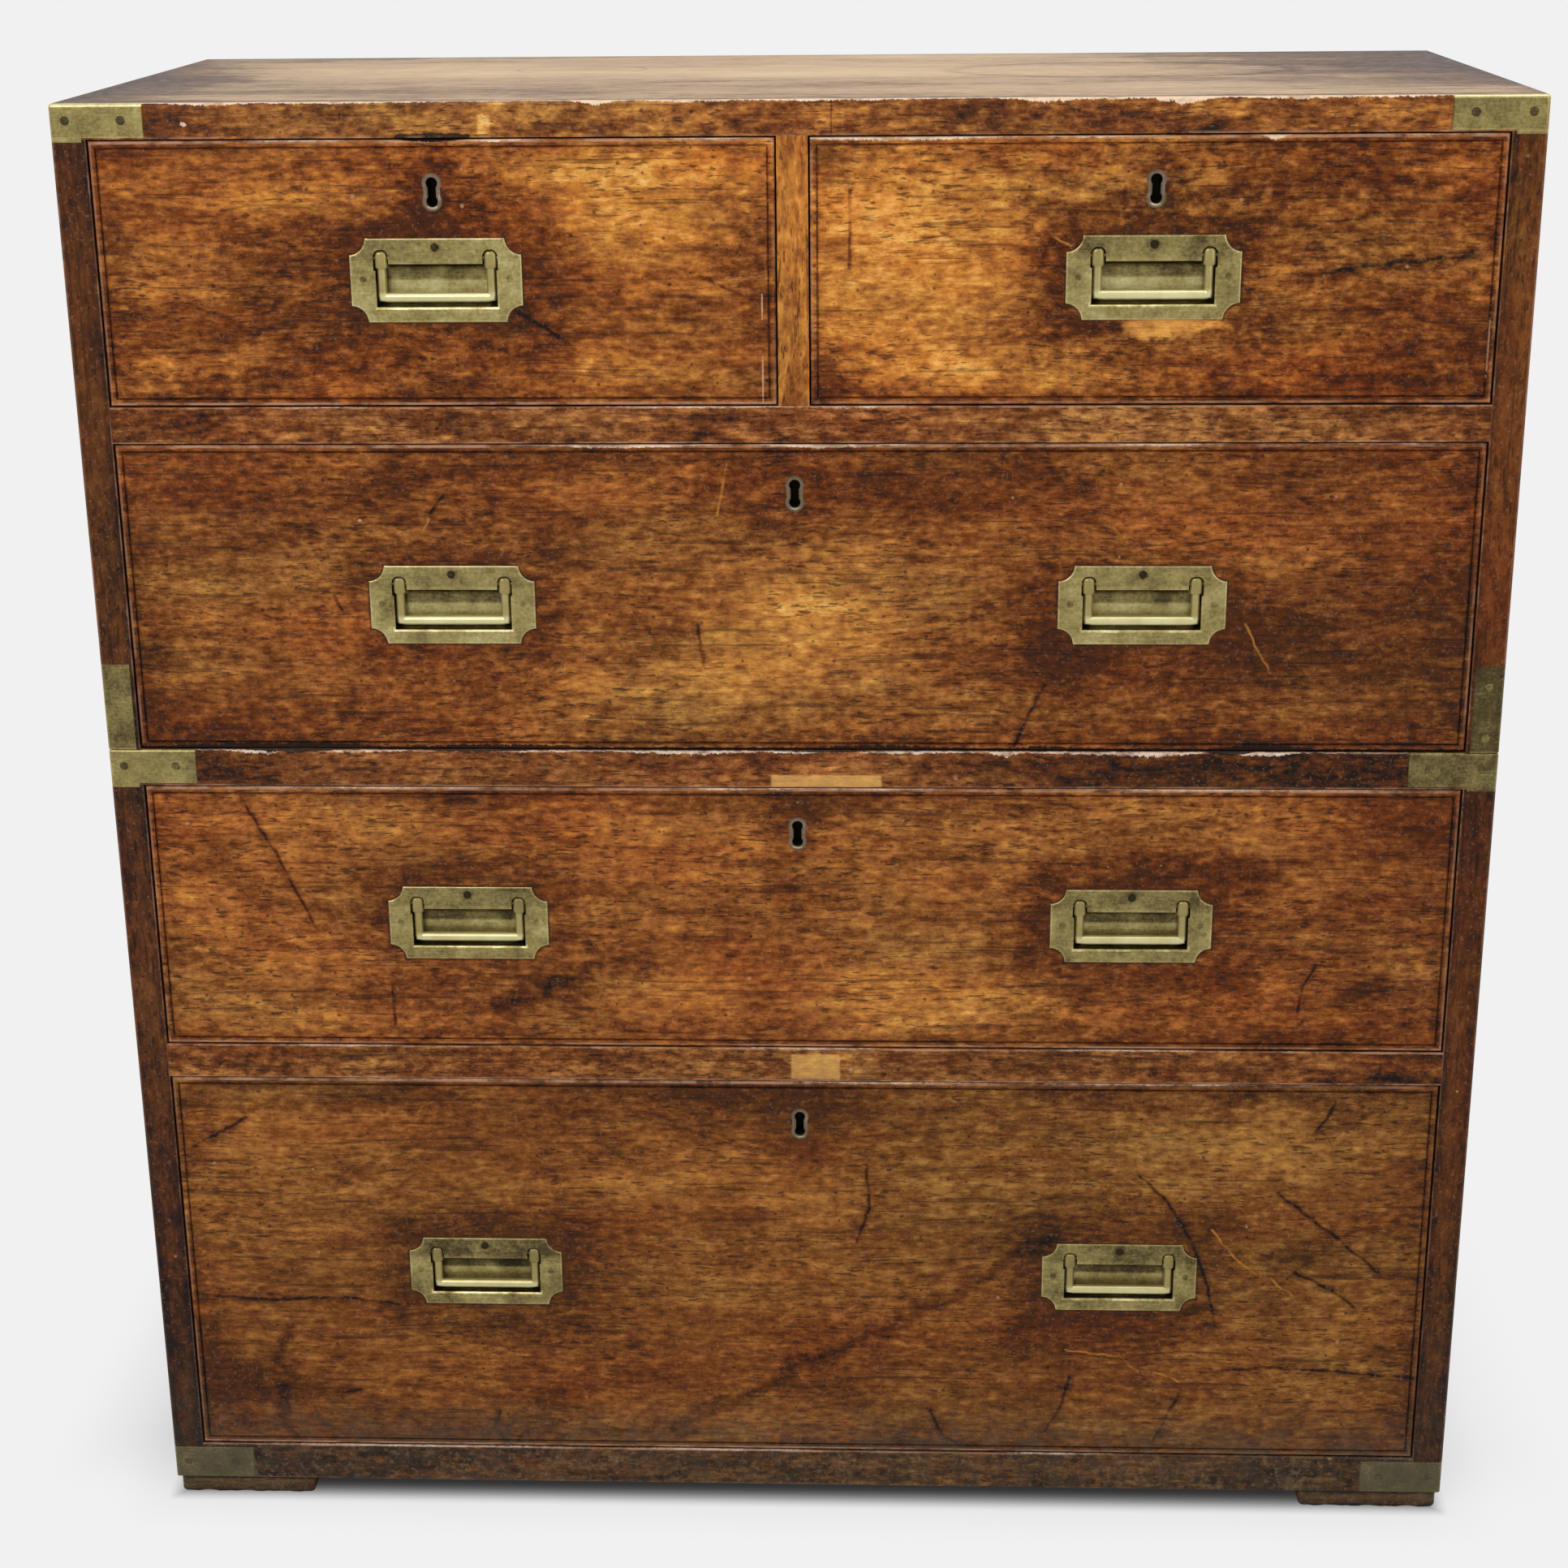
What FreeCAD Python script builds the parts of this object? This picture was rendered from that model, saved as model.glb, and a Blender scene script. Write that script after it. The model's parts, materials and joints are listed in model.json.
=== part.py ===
import FreeCAD
import Part
import Sketcher
import os
import re
from FreeCAD import Placement, Rotation, Vector

# Campaign chest of drawers that parts into two stacking cases.
#
# The frame is in millimetres. +X runs to the chest's right as its front is faced, +Y to its back
# and +Z up. The origin is on the floor, under the middle of the cases. The upper case holds two
# short drawers over a long one, the lower case two long drawers over low block feet. Each piece of
# wood, brass fitting, lock and bolt is an object of its own. Its sizes are formulas on the sheet of
# driving sizes, and most recesses are cut with the very piece that goes into them.

SIZES = (
    # alias, value, what it is
    ("case_width", 990, "both cases, over their sides"),
    ("case_depth", 450, "both cases, front to back"),
    ("side_thickness", 23.4, "side boards, which show as stiles at the front"),
    ("foot_height", 17, "block feet"),
    ("base_rail_height", 30, "front rail under the deep drawer"),
    ("deep_opening", 315, "height of the lowest drawer's opening"),
    ("mid_rail_height", 26, "rail between the lower case's drawers"),
    ("fourth_opening", 203, "height of the fourth drawer's opening"),
    ("lower_top_thickness", 27, "board on which the upper case stands"),
    ("long_opening", 221, "height of the upper long drawer's opening"),
    ("upper_rail_height", 25, "rail under the short drawers"),
    ("short_opening", 179.5, "height of the short drawers' openings"),
    ("upper_top_thickness", 23.5, "top board"),
    ("arris", 2.5, "rounding of the cases' outer edges"),
    ("divider_thickness", 21, "partition between the short drawers"),
    ("divider_tongue", 5, "how far the partition is housed above and below"),
    ("rail_depth", 60, "rails, front to back"),
    ("stub_length", 8, "tenons of rails and bottoms in the sides"),
    ("shoulder", 10, "how far joints stop short of the front"),
    ("tongue_thickness", 8, "tongue along the head of each side"),
    ("tongue_height", 8, "tongue's height in the board above"),
    ("tongue_stop", 20, "how far the tongue stops short at each end"),
    ("back_thickness", 8, "back panels"),
    ("back_setback", 10, "back panels, in from the rear edges"),
    ("back_groove", 6, "depth of the grooves that hold the back panels"),
    ("upper_bottom_thickness", 12, "upper case's bottom, hidden by its drawer front"),
    ("lower_bottom_thickness", 18, "lower case's bottom, between the base rails"),
    ("runner_width", 30, "drawer runners on the sides"),
    ("middle_runner_width", 62, "runner under the partition"),
    ("stop_height", 5, "drawer stops"),
    ("stop_width", 40, "drawer stops, along the rail"),
    ("stop_depth", 12, "drawer stops, front to back"),
    ("stop_inset", 70, "drawer stops' centres, in from the opening's ends"),
    ("stop_gap", 0.1, "between a closed drawer and its stop"),
    ("foot_width", 106, "feet, across the chest"),
    ("foot_length", 106, "feet, front to back"),
    ("foot_inset", 2.6, "feet, in from the case's faces"),
    ("foot_chamfer", 1.5, "feet's lower edges"),
    ("dowel_radius", 6, "dowels that locate the upper case"),
    ("dowel_gap", 0.5, "round each dowel in the upper case"),
    ("dowel_rise", 9, "dowels above the joint of the cases"),
    ("dowel_root", 15, "dowels below the joint of the cases"),
    ("dowel_inset", 82, "dowels' axes, in from the case's faces"),
    ("drawer_gap", 1.2, "round each drawer front in its opening"),
    ("run_gap", 0.2, "between a drawer's sides and what it runs on"),
    ("head_gap", 2, "over a drawer's sides"),
    ("front_setback", 0.5, "drawer fronts behind the cases' front face"),
    ("front_thickness", 20, "drawer fronts"),
    ("lap", 7, "wood of a drawer front that laps over its sides"),
    ("drawer_side", 10, "thickness of drawer sides"),
    ("drawer_back", 10, "thickness of drawer backs"),
    ("drawer_floor", 6, "thickness of drawer bottoms"),
    ("floor_raise", 9, "drawer bottoms above the lower edge of the sides"),
    ("floor_groove", 5, "depth of the grooves that hold drawer bottoms"),
    ("back_drop", 6, "drawer backs below the top of the sides"),
    ("back_space", 8, "behind a closed drawer"),
    ("bead_width", 4.2, "bead worked round each drawer front"),
    ("quirk_width", 1.2, "groove that sets off the bead"),
    ("quirk_depth", 1.2, "depth of that groove"),
    ("bead_round", 1.4, "outer edge of the bead"),
    ("handle_offset", 241, "handles of long drawers, from the middle"),
    ("handle_drop", 4, "handles below the middle of the opening"),
    ("plate_width", 117, "handle plates"),
    ("plate_height", 56.5, "handle plates"),
    ("plate_thickness", 2, "handle plates"),
    ("notch_radius", 11, "hollowed corners of the plates"),
    ("well_margin", 17.5, "hollow that holds the bail, in from the plate's ends"),
    ("well_height", 28.5, "hollow that holds the bail"),
    ("well_drop", 17.5, "top of the hollow below the plate's top"),
    ("well_depth", 10, "hollow behind the plate's face"),
    ("well_round", 8, "curve at the back of the hollow"),
    ("cup_wall", 1.5, "metal round the hollow"),
    ("cheek", 3.5, "metal beside the bail's knuckles"),
    ("slot_width", 7.8, "slots for the bail's knuckles"),
    ("slot_rise", 9.5, "slots above the hollow"),
    ("slot_depth", 7.6, "slots behind the plate's face"),
    ("knuckle_radius", 3.3, "bail's knuckles"),
    ("knuckle_gap", 0.4, "beside each knuckle"),
    ("pivot_drop", 13.5, "bail's pivot below the plate's top"),
    ("pivot_depth", 3.6, "bail's pivot behind the plate's face"),
    ("pin_radius", 1.3, "bail's pivot pins"),
    ("pin_gap", 0.05, "round the pivot pins"),
    ("pin_length", 13.6, "each pivot pin, through its knuckle"),
    ("bail_reach", 26.5, "bail's bar below the pivot"),
    ("bail_radius", 2.75, "bail's bar and arms"),
    ("plate_screw_inset", 8, "side screws, in from the plate's ends"),
    ("plate_screw_drop", 6.3, "top screw below the plate's top"),
    ("plate_screw_low", 27, "side screws below the plate's top"),
    ("screw_head", 3.1, "radius of countersunk heads"),
    ("screw_shank", 1.6, "radius of screw shanks"),
    ("screw_length", 10, "shanks behind their heads"),
    ("keyhole_drop", 35.5, "keyholes below the top of the opening"),
    ("key_radius", 3.9, "rounds at the keyhole's ends"),
    ("key_spacing", 11.9, "between the two rounds"),
    ("key_slot", 5.8, "width of the keyhole's slot"),
    ("escutcheon_wall", 2.7, "brass round the keyhole"),
    ("escutcheon_depth", 4, "brass liner, front to back"),
    ("lock_width", 64, "lock cases"),
    ("lock_height", 52, "lock cases"),
    ("lock_depth", 12, "lock cases, let into the back of the drawer front"),
    ("key_depth", 9, "keyhole inside the lock case"),
    ("bolt_width", 22, "lock bolts"),
    ("bolt_thickness", 5, "lock bolts"),
    ("bolt_height", 22, "lock bolts"),
    ("bolt_inset", 4, "bolts behind the lock case's face"),
    ("bolt_gap", 0.3, "round each bolt"),
    ("bolt_throw", 8, "how far a bolt shoots"),
    ("strike_gap", 1.5, "round a shot bolt in the wood above"),
    ("strap_length", 63, "legs of the corner brasses"),
    ("strap_thickness", 2, "corner brasses"),
    ("strap_stile", 20.6, "width of the brasses on the stiles"),
    ("top_strap", 22.3, "height of the top corners' front legs"),
    ("joint_strap", 25.5, "height of the lower case's top front legs"),
    ("base_strap", 26.5, "height of the lowest brasses"),
    ("strap_step", 3, "extra height of a brass on the stile"),
    ("low_strap", 24, "height of the side legs at the upper case's foot"),
    ("strap_screw_near", 10.5, "first screw from the corner"),
    ("strap_screw_far", 48, "second screw from the corner"),
)

PLACES = {
    # levels, worked up from the floor
    "deep_sill": "foot_height + base_rail_height",
    "deep_head": "deep_sill + deep_opening",
    "fourth_sill": "deep_head + mid_rail_height",
    "fourth_head": "fourth_sill + fourth_opening",
    "case_joint": "fourth_head + lower_top_thickness",
    "long_head": "case_joint + long_opening",
    "short_sill": "long_head + upper_rail_height",
    "short_head": "short_sill + short_opening",
    "chest_top": "short_head + upper_top_thickness",
    # planes across the chest
    "case_half": "case_width / 2",
    "inside_half": "case_half - side_thickness",
    "tenon_half": "inside_half + stub_length",
    "divider_half": "divider_thickness / 2",
    "short_middle": "(divider_half + inside_half) / 2",
    # planes front to back
    "front_face": "-case_depth / 2",
    "rear_face": "case_depth / 2",
    "panel_rear": "rear_face - back_setback",
    "panel_front": "panel_rear - back_thickness",
    "rail_rear": "front_face + rail_depth",
    "drawer_face": "front_face + front_setback",
    "drawer_front_rear": "drawer_face + front_thickness",
    "stop_face": "drawer_front_rear + stop_gap",
    "drawer_end": "panel_front - back_space",
    # a handle plate about its own centre, and the bail's pivot in it
    "plate_top": "plate_height / 2",
    "well_width": "plate_width - 2 * well_margin",
    "well_top": "plate_top - well_drop",
    "well_bottom": "well_top - well_height",
    "slot_top": "well_top + slot_rise",
    "slot_middle": "well_width / 2 - slot_width / 2",
    "cup_half": "well_width / 2 + cheek",
    "cup_top": "slot_top + cup_wall",
    "cup_bottom": "well_bottom - cup_wall",
    "cup_depth": "well_depth + cup_wall",
    "pivot_level": "plate_top - pivot_drop",
    "bar_level": "pivot_level - bail_reach",
    # a lock about its keyhole's centre on the drawer's face
    "lock_top": "keyhole_drop - drawer_gap",
    "lock_face": "front_thickness - lock_depth",
    "bolt_face": "lock_face + bolt_inset",
    "escutcheon_radius": "key_radius + escutcheon_wall",
    # the second kind of corner brass, on its end on the stile
    "stile_screw": "strap_stile / 2",
}

WORD = re.compile(r"[a-z][a-z_]+")
ALONG_X = Rotation(Vector(0, 1, 0), 90)
ALONG_Y = Rotation(Vector(1, 0, 0), -90)
ALONG_Z = Rotation()

doc = FreeCAD.newDocument("campaign_chest")
nodes = []


def fill_sheet():
    """Write every driving size to the sheet, with its alias and its meaning."""
    sheet = doc.addObject("Spreadsheet::Sheet", "Sizes")
    for row, (alias, size, meaning) in enumerate(SIZES, start=1):
        sheet.set(f"A{row}", alias)
        sheet.set(f"B{row}", str(size))
        sheet.set(f"C{row}", meaning)
        sheet.setAlias(f"B{row}", alias)
    doc.recompute()


def formula(text):
    """Spell out the named places of an expression and point its sizes at the sheet."""
    def spell(match):
        word = match.group()
        if word in PLACES:
            return "(" + formula(PLACES[word]) + ")"
        return "Sizes." + word
    return WORD.sub(spell, text)


def put(thing, x="0", y="0", z="0"):
    """Bind the place of an object's own origin."""
    for axis, text in zip("xyz", (x, y, z)):
        thing.setExpression("Placement.Base." + axis, formula(text))
    return thing


def block(name, x, y, z):
    """Box between a low and a high plane on each axis."""
    box = doc.addObject("Part::Box", name)
    for side, (low, high) in zip(("Length", "Width", "Height"), (x, y, z)):
        box.setExpression(side, formula(f"{high} - ({low})"))
    return put(box, x[0], y[0], z[0])


def rod(name, turn, radius, length, x="0", y="0", z="0"):
    """Cylinder that starts at a point and runs along an axis."""
    cylinder = doc.addObject("Part::Cylinder", name)
    cylinder.Placement = Placement(Vector(), turn)
    cylinder.setExpression("Radius", formula(radius))
    cylinder.setExpression("Height", formula(length))
    return put(cylinder, x, y, z)


def join(name, pieces):
    """One solid from several that meet or overlap."""
    whole = doc.addObject("Part::MultiFuse", name)
    whole.Shapes = pieces
    whole.Refine = True
    return whole


def group(name, pieces):
    """Several solids kept apart under one name."""
    pack = doc.addObject("Part::Compound", name)
    pack.Links = pieces
    return pack


def trim(name, base, tools):
    """A piece less what goes into it."""
    cut = doc.addObject("Part::Cut", name)
    cut.Base = base
    cut.Tool = tools[0] if len(tools) == 1 else group(name + "_recesses", tools)
    cut.Refine = True
    return cut


def within(name, piece, outline):
    """The part of a piece that lies inside a rounded outline."""
    common = doc.addObject("Part::Common", name)
    common.Base = piece
    common.Tool = outline
    common.Refine = True
    return common


def mirror(name, source):
    """The same piece on the chest's other side."""
    image = doc.addObject("Part::Mirroring", name)
    image.Source = source
    image.Normal = Vector(1, 0, 0)
    return image


def copy(name, master, x, y, z):
    """A master piece, set at its own place."""
    return put(group(name, [master]), x, y, z)


def node(piece):
    """Mark an object as a sub-part, which is written under its label."""
    nodes.append(piece)
    return piece


def origin_plane(body, role):
    """One of a body's own origin planes."""
    return next(item for item in body.Origin.OriginFeatures if item.Role == role)


def sketch_on(body, name, role):
    """Empty sketch on one of a body's origin planes."""
    sketch = body.newObject("Sketcher::SketchObject", name)
    sketch.AttachmentSupport = [(origin_plane(body, role), "")]
    sketch.MapMode = "FlatFace"
    return sketch


def hold(sketch, kind, geometry, point, name, text):
    """Hold a sketch point at a bound distance from the sketch's origin."""
    index = sketch.addConstraint(Sketcher.Constraint(kind, -1, 1, geometry, point, 1.0))
    sketch.renameConstraint(index, name)
    sketch.setExpression("Constraints." + name, formula(text))


def rectangle(sketch, name, across, up):
    """Closed rectangle between a low and a high bound on each axis of a sketch."""
    corners = (Vector(0, 0), Vector(1, 0), Vector(1, 1), Vector(0, 1))
    first = sketch.GeometryCount
    for index, corner in enumerate(corners):
        sketch.addGeometry(Part.LineSegment(corner, corners[(index + 1) % 4]), False)
    for index in range(4):
        line, following = first + index, first + (index + 1) % 4
        sketch.addConstraint(Sketcher.Constraint("Coincident", line, 2, following, 1))
        sketch.addConstraint(Sketcher.Constraint(("Horizontal", "Vertical")[index % 2], line))
    for kind, (low, high), axis in (("DistanceX", across, "x"), ("DistanceY", up, "y")):
        hold(sketch, kind, first, 1, f"{name}_low_{axis}", low)
        hold(sketch, kind, first + 2, 1, f"{name}_high_{axis}", high)


def circle(sketch, name, radius, across, up):
    """Circle of a bound radius about a bound centre."""
    index = sketch.addGeometry(Part.Circle(Vector(0, 0), Vector(0, 0, 1), 1), False)
    rule = sketch.addConstraint(Sketcher.Constraint("Radius", index, 1.0))
    sketch.renameConstraint(rule, name + "_radius")
    sketch.setExpression(f"Constraints.{name}_radius", formula(radius))
    hold(sketch, "DistanceX", index, 3, name + "_x", across)
    hold(sketch, "DistanceY", index, 3, name + "_y", up)


def pad(body, name, sketch, length, backwards=False):
    """Raise a sketch to a solid; backwards is against the sketch's normal."""
    feature = body.newObject("PartDesign::Pad", name)
    feature.Profile = sketch
    feature.Reversed = backwards
    feature.setExpression("Length", formula(length))
    doc.recompute()
    return feature


def pocket(body, name, sketch, length):
    """Sink a sketch into the solid, against the sketch's normal."""
    before = body.Shape.Volume
    feature = body.newObject("PartDesign::Pocket", name)
    feature.Profile = sketch
    feature.setExpression("Length", formula(length))
    doc.recompute()
    if body.Shape.Volume >= before:
        raise RuntimeError(name + " cuts nothing")
    return feature


def dress(body, kind, name, edges, prop, size):
    """Round or bevel the chosen edges of a body's last feature."""
    base = body.Tip
    feature = body.newObject("PartDesign::" + kind, name)
    feature.Base = (base, [f"Edge{index + 1}" for index in edges])
    feature.setExpression(prop, formula(size))
    doc.recompute()
    return feature


def edges_where(shape, test):
    """Numbers of the edges whose whole box passes a test."""
    return [index for index, edge in enumerate(shape.Edges) if test(edge.BoundBox)]


def near(first, second):
    """Whether two lengths are the same."""
    return abs(first - second) < 1e-4


# Cases ------------------------------------------------------------------------------------------

def case_outline(name, bottom, top):
    """Block of a whole case with its upright and upper edges rounded."""
    body = doc.addObject("PartDesign::Body", name)
    put(body, z=bottom)
    sketch = sketch_on(body, name + "_plan", "XY_Plane")
    rectangle(sketch, "plan", ("-case_half", "case_half"), ("front_face", "rear_face"))
    pad(body, name + "_block", sketch, f"{top} - ({bottom})")
    box = body.Shape.BoundBox
    chosen = edges_where(body.Shape, lambda edge: not near(edge.ZMax, box.ZMin))
    dress(body, "Fillet", name + "_arris", chosen, "Radius", "arris")
    return body


def rail(name, y, z):
    """Rail across a case, with a stub tenon at each end behind its shoulders."""
    return join(name, [
        block(name + "_bar", ("-inside_half", "inside_half"), y, z),
        block(name + "_tenons", ("-tenon_half", "tenon_half"), (f"{y[0]} + shoulder", y[1]), z),
    ])


def back_panel(name, bottom, head):
    """Panel in the grooves of the sides and of the board over it."""
    across = ("-inside_half - back_groove", "inside_half + back_groove")
    return block(name, across, ("panel_front", "panel_rear"), (bottom, head + " + back_groove"))


def head_tongue(name, head):
    """Tongue on the left side's upper end, which the board above is grooved for."""
    middle = "side_thickness / 2 - case_half"
    across = (f"{middle} - tongue_thickness / 2", f"{middle} + tongue_thickness / 2")
    along = ("front_face + tongue_stop", "rear_face - tongue_stop")
    return block(name, across, along, (head, head + " + tongue_height"))


def side_board(name, bottom, head, tongue, outline, housed):
    """Left side: a board with its tongue, less all that is housed in or let into it."""
    board = block(name + "_board", ("-case_half", "-inside_half"),
                  ("front_face", "rear_face"), (bottom, head))
    return trim(name, join(name + "_tongued", [within(name + "_rounded", board, outline), tongue]),
                housed)


def top_board(name, z, outline, housed):
    """Full-size board over a case, less all that is housed in or let into it."""
    blank = block(name + "_blank", ("-case_half", "case_half"), ("front_face", "rear_face"), z)
    return trim(name, within(name + "_rounded", blank, outline), housed)


def side_runner(name, z):
    """Left runner, from the rail to the back panel."""
    return block(name, ("-inside_half", "runner_width - inside_half"),
                 ("rail_rear", "panel_front"), z)


def stops(name, ends, sill):
    """Two blocks on a rail that a drawer front comes up against."""
    pair = []
    for index, middle in enumerate((f"{ends[0]} + stop_inset", f"{ends[1]} - stop_inset")):
        across = (f"{middle} - stop_width / 2", f"{middle} + stop_width / 2")
        pair.append(block(f"{name}_{index + 1}", across, ("stop_face", "stop_face + stop_depth"),
                          (sill, sill + " + stop_height")))
    return pair


def foot():
    """Low block with its lower edges bevelled, from its outer front corner."""
    body = doc.addObject("PartDesign::Body", "foot_master")
    plan = sketch_on(body, "foot_plan", "XY_Plane")
    rectangle(plan, "plan", ("0", "foot_width"), ("0", "foot_length"))
    pad(body, "foot_block", plan, "foot_height")
    chosen = edges_where(body.Shape, lambda edge: near(edge.ZMax, 0))
    dress(body, "Chamfer", "foot_bevel", chosen, "Size", "foot_chamfer")
    return body


# Corner brasses ---------------------------------------------------------------------------------

def screw(name, length):
    """Countersunk screw along +Y from its head's face at the origin."""
    head = doc.addObject("Part::Cone", name + "_head")
    head.Placement = Placement(Vector(), ALONG_Y)
    head.setExpression("Radius1", formula("screw_head"))
    head.setExpression("Radius2", formula("screw_shank"))
    head.setExpression("Height", formula("strap_thickness"))
    shank = rod(name + "_shank", ALONG_Y, "screw_shank", length, y="strap_thickness")
    return join(name, [head, shank])


def screw_at(name, turn, x, y, z):
    """Copy of the corner screw, turned about its head's face."""
    placed = group(name, [corner_screw])
    placed.Placement = Placement(Vector(), Rotation(Vector(0, 0, 1), turn))
    return put(placed, x, y, z)


def band(edge, sense, height):
    """Levels of a leg that starts at an edge and runs up (1) or down (-1)."""
    if sense > 0:
        return edge, f"{edge} + {height}"
    return f"{edge} - {height}", edge


def left_brasses(name, edge, sense, legs, outline):
    """Front and rear brass of one level on the chest's left, with their screws.

    legs holds the height of the front leg, or None where the front leg stands on the stile, the
    height on the stile and the height of the side legs.
    """
    front_leg, stile_leg, side_leg = legs
    plies = (("front", "front_face", 1, front_leg), ("rear", "rear_face", -1, None))
    plates, screws = [], []
    for end, face, inwards, leg in plies:
        label = f"{name}_{end}"
        skin = sorted_pair(face, inwards, "strap_thickness")
        reach = sorted_pair(face, inwards, "strap_length")
        stile = ("-case_half", "strap_stile - case_half")
        height = stile_leg if leg else "strap_length"
        parts = [
            block(label + "_stile", stile, skin, band(edge, sense, height)),
            block(label + "_side", ("-case_half", "strap_thickness - case_half"), reach,
                  band(edge, sense, side_leg)),
        ]
        if leg:
            across = ("-case_half", "strap_length - case_half")
            parts.append(block(label + "_leg", across, skin, band(edge, sense, leg)))
        turn = 0 if inwards > 0 else 180
        sign = "+" if sense > 0 else "-"
        own = []
        for spot in ("strap_screw_near", "strap_screw_far"):
            x, z = f"{spot} - case_half", f"{edge} {sign} {leg} / 2"
            if not leg:
                x, z = "stile_screw - case_half", f"{edge} {sign} {spot}"
            own.append(screw_at(f"{label}_{spot}_face", turn, x, face, z))
            y = f"{face} {'+' if inwards > 0 else '-'} {spot}"
            own.append(screw_at(f"{label}_{spot}_side", -90, "-case_half", y,
                                f"{edge} {sign} {side_leg} / 2"))
        shaped = within(label + "_shaped", join(label + "_plies", parts), outline)
        plates.append(trim(label, shaped, own))
        screws.extend(own)
    return plates, screws


def sorted_pair(face, inwards, size):
    """Low and high plane of a layer that starts at a face and runs inwards."""
    if inwards > 0:
        return face, f"{face} + {size}"
    return f"{face} - {size}", face


# Handles and locks ------------------------------------------------------------------------------

def handle_blank():
    """Handle plate and the block behind it, before its hollow, about the plate's centre."""
    body = doc.addObject("PartDesign::Body", "handle_blank")
    face = sketch_on(body, "plate_outline", "XZ_Plane")
    rectangle(face, "plate", ("-plate_width / 2", "plate_width / 2"), ("-plate_top", "plate_top"))
    pad(body, "plate_sheet", face, "plate_thickness", backwards=True)
    corners = sketch_on(body, "plate_corners", "XZ_Plane")
    for name, across, up in (("lower_left", "-", "-"), ("lower_right", "", "-"),
                             ("upper_left", "-", ""), ("upper_right", "", "")):
        circle(corners, name, "notch_radius", across + "plate_width / 2", up + "plate_top")
    pocket(body, "plate_notches", corners, "plate_thickness")
    cup = sketch_on(body, "cup_outline", "XZ_Plane")
    rectangle(cup, "cup", ("-cup_half", "cup_half"), ("cup_bottom", "cup_top"))
    pad(body, "cup_block", cup, "cup_depth", backwards=True)
    return body


def handle_hollow():
    """Hollow of a handle: the scooped well, the knuckles' slots and the pivot's bore."""
    body = doc.addObject("PartDesign::Body", "handle_well")
    mouth = sketch_on(body, "well_outline", "XZ_Plane")
    rectangle(mouth, "well", ("-well_width / 2", "well_width / 2"), ("well_bottom", "well_top"))
    pad(body, "well_block", mouth, "well_depth", backwards=True)
    box = body.Shape.BoundBox
    chosen = edges_where(body.Shape, lambda edge: near(edge.YMin, box.YMax) and edge.XLength > 1)
    dress(body, "Fillet", "well_scoop", chosen, "Radius", "well_round")
    level = ("well_top - well_round", "slot_top")
    depth = ("0", "slot_depth")
    right = block("slot_right", ("well_width / 2 - slot_width", "well_width / 2"), depth, level)
    left = block("slot_left", ("-well_width / 2", "slot_width - well_width / 2"), depth, level)
    bore = rod("pivot_bore", ALONG_X, "pin_radius + pin_gap", "2 * cup_half", "-cup_half",
               "pivot_depth", "pivot_level")
    return join("handle_hollow", [body, right, left, bore])


def plate_screws():
    """The three screws of a handle plate, about the plate's centre."""
    master = screw("plate_screw", "screw_length")
    across = "plate_width / 2 - plate_screw_inset"
    level = "plate_top - plate_screw_low"
    return [
        copy("plate_screw_top", master, "0", "0", "plate_top - plate_screw_drop"),
        copy("plate_screw_left", master, f"-({across})", "0", level),
        copy("plate_screw_right", master, across, "0", level),
    ]


def bail():
    """Round bar bent to a U, with a knuckle and a pivot pin at each end."""
    parts = [rod("bail_bar", ALONG_X, "bail_radius", "2 * slot_middle", "-slot_middle",
                 "pivot_depth", "bar_level")]
    width = "(slot_width - 2 * knuckle_gap)"
    for side, middle in (("left", "-slot_middle"), ("right", "slot_middle")):
        parts.append(rod(f"bail_{side}_arm", ALONG_Z, "bail_radius", "bail_reach",
                         middle, "pivot_depth", "bar_level"))
        parts.append(rod(f"bail_{side}_knuckle", ALONG_X, "knuckle_radius", width,
                         f"{middle} - {width} / 2", "pivot_depth", "pivot_level"))
        parts.append(rod(f"bail_{side}_pin", ALONG_X, "pin_radius", "pin_length",
                         f"{middle} - pin_length / 2", "pivot_depth", "pivot_level"))
        bend = doc.addObject("Part::Sphere", f"bail_{side}_bend")
        bend.setExpression("Radius", formula("bail_radius"))
        parts.append(put(bend, middle, "pivot_depth", "bar_level"))
    return join("bail_master", parts)


def keyhole(name, end_radius, slot_half, start, depth):
    """Upright slot with a round at each end, along +Y."""
    low, high = "-key_spacing / 2", "key_spacing / 2"
    return join(name, [
        rod(name + "_head", ALONG_Y, end_radius, depth, "0", start, high),
        rod(name + "_foot", ALONG_Y, end_radius, depth, "0", start, low),
        block(name + "_slot", (f"-({slot_half})", slot_half), (start, f"{start} + {depth}"),
              (low, high)),
    ])


def lock_masters():
    """Lock case, its recess in the drawer front and the liner round the keyhole.

    They are all about the centre of the keyhole on the drawer's face.
    """
    through = keyhole("key_way", "key_radius", "key_slot / 2", "0", "lock_face + key_depth")
    liner = keyhole("liner_blank", "escutcheon_radius", "key_slot / 2 + escutcheon_wall", "0",
                    "escutcheon_depth")
    case = block("lock_block", ("-lock_width / 2", "lock_width / 2"),
                 ("lock_face", "front_thickness"), ("lock_top - lock_height", "lock_top"))
    channel = block("bolt_channel", ("-bolt_width / 2 - bolt_gap", "bolt_width / 2 + bolt_gap"),
                    ("bolt_face - bolt_gap", "bolt_face + bolt_thickness + bolt_gap"),
                    ("lock_top - bolt_height", "lock_top"))
    recess = join("lock_recess", [through, liner, case])
    return recess, trim("lock_case", case, [through, channel]), trim("liner", liner, [through])


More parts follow.
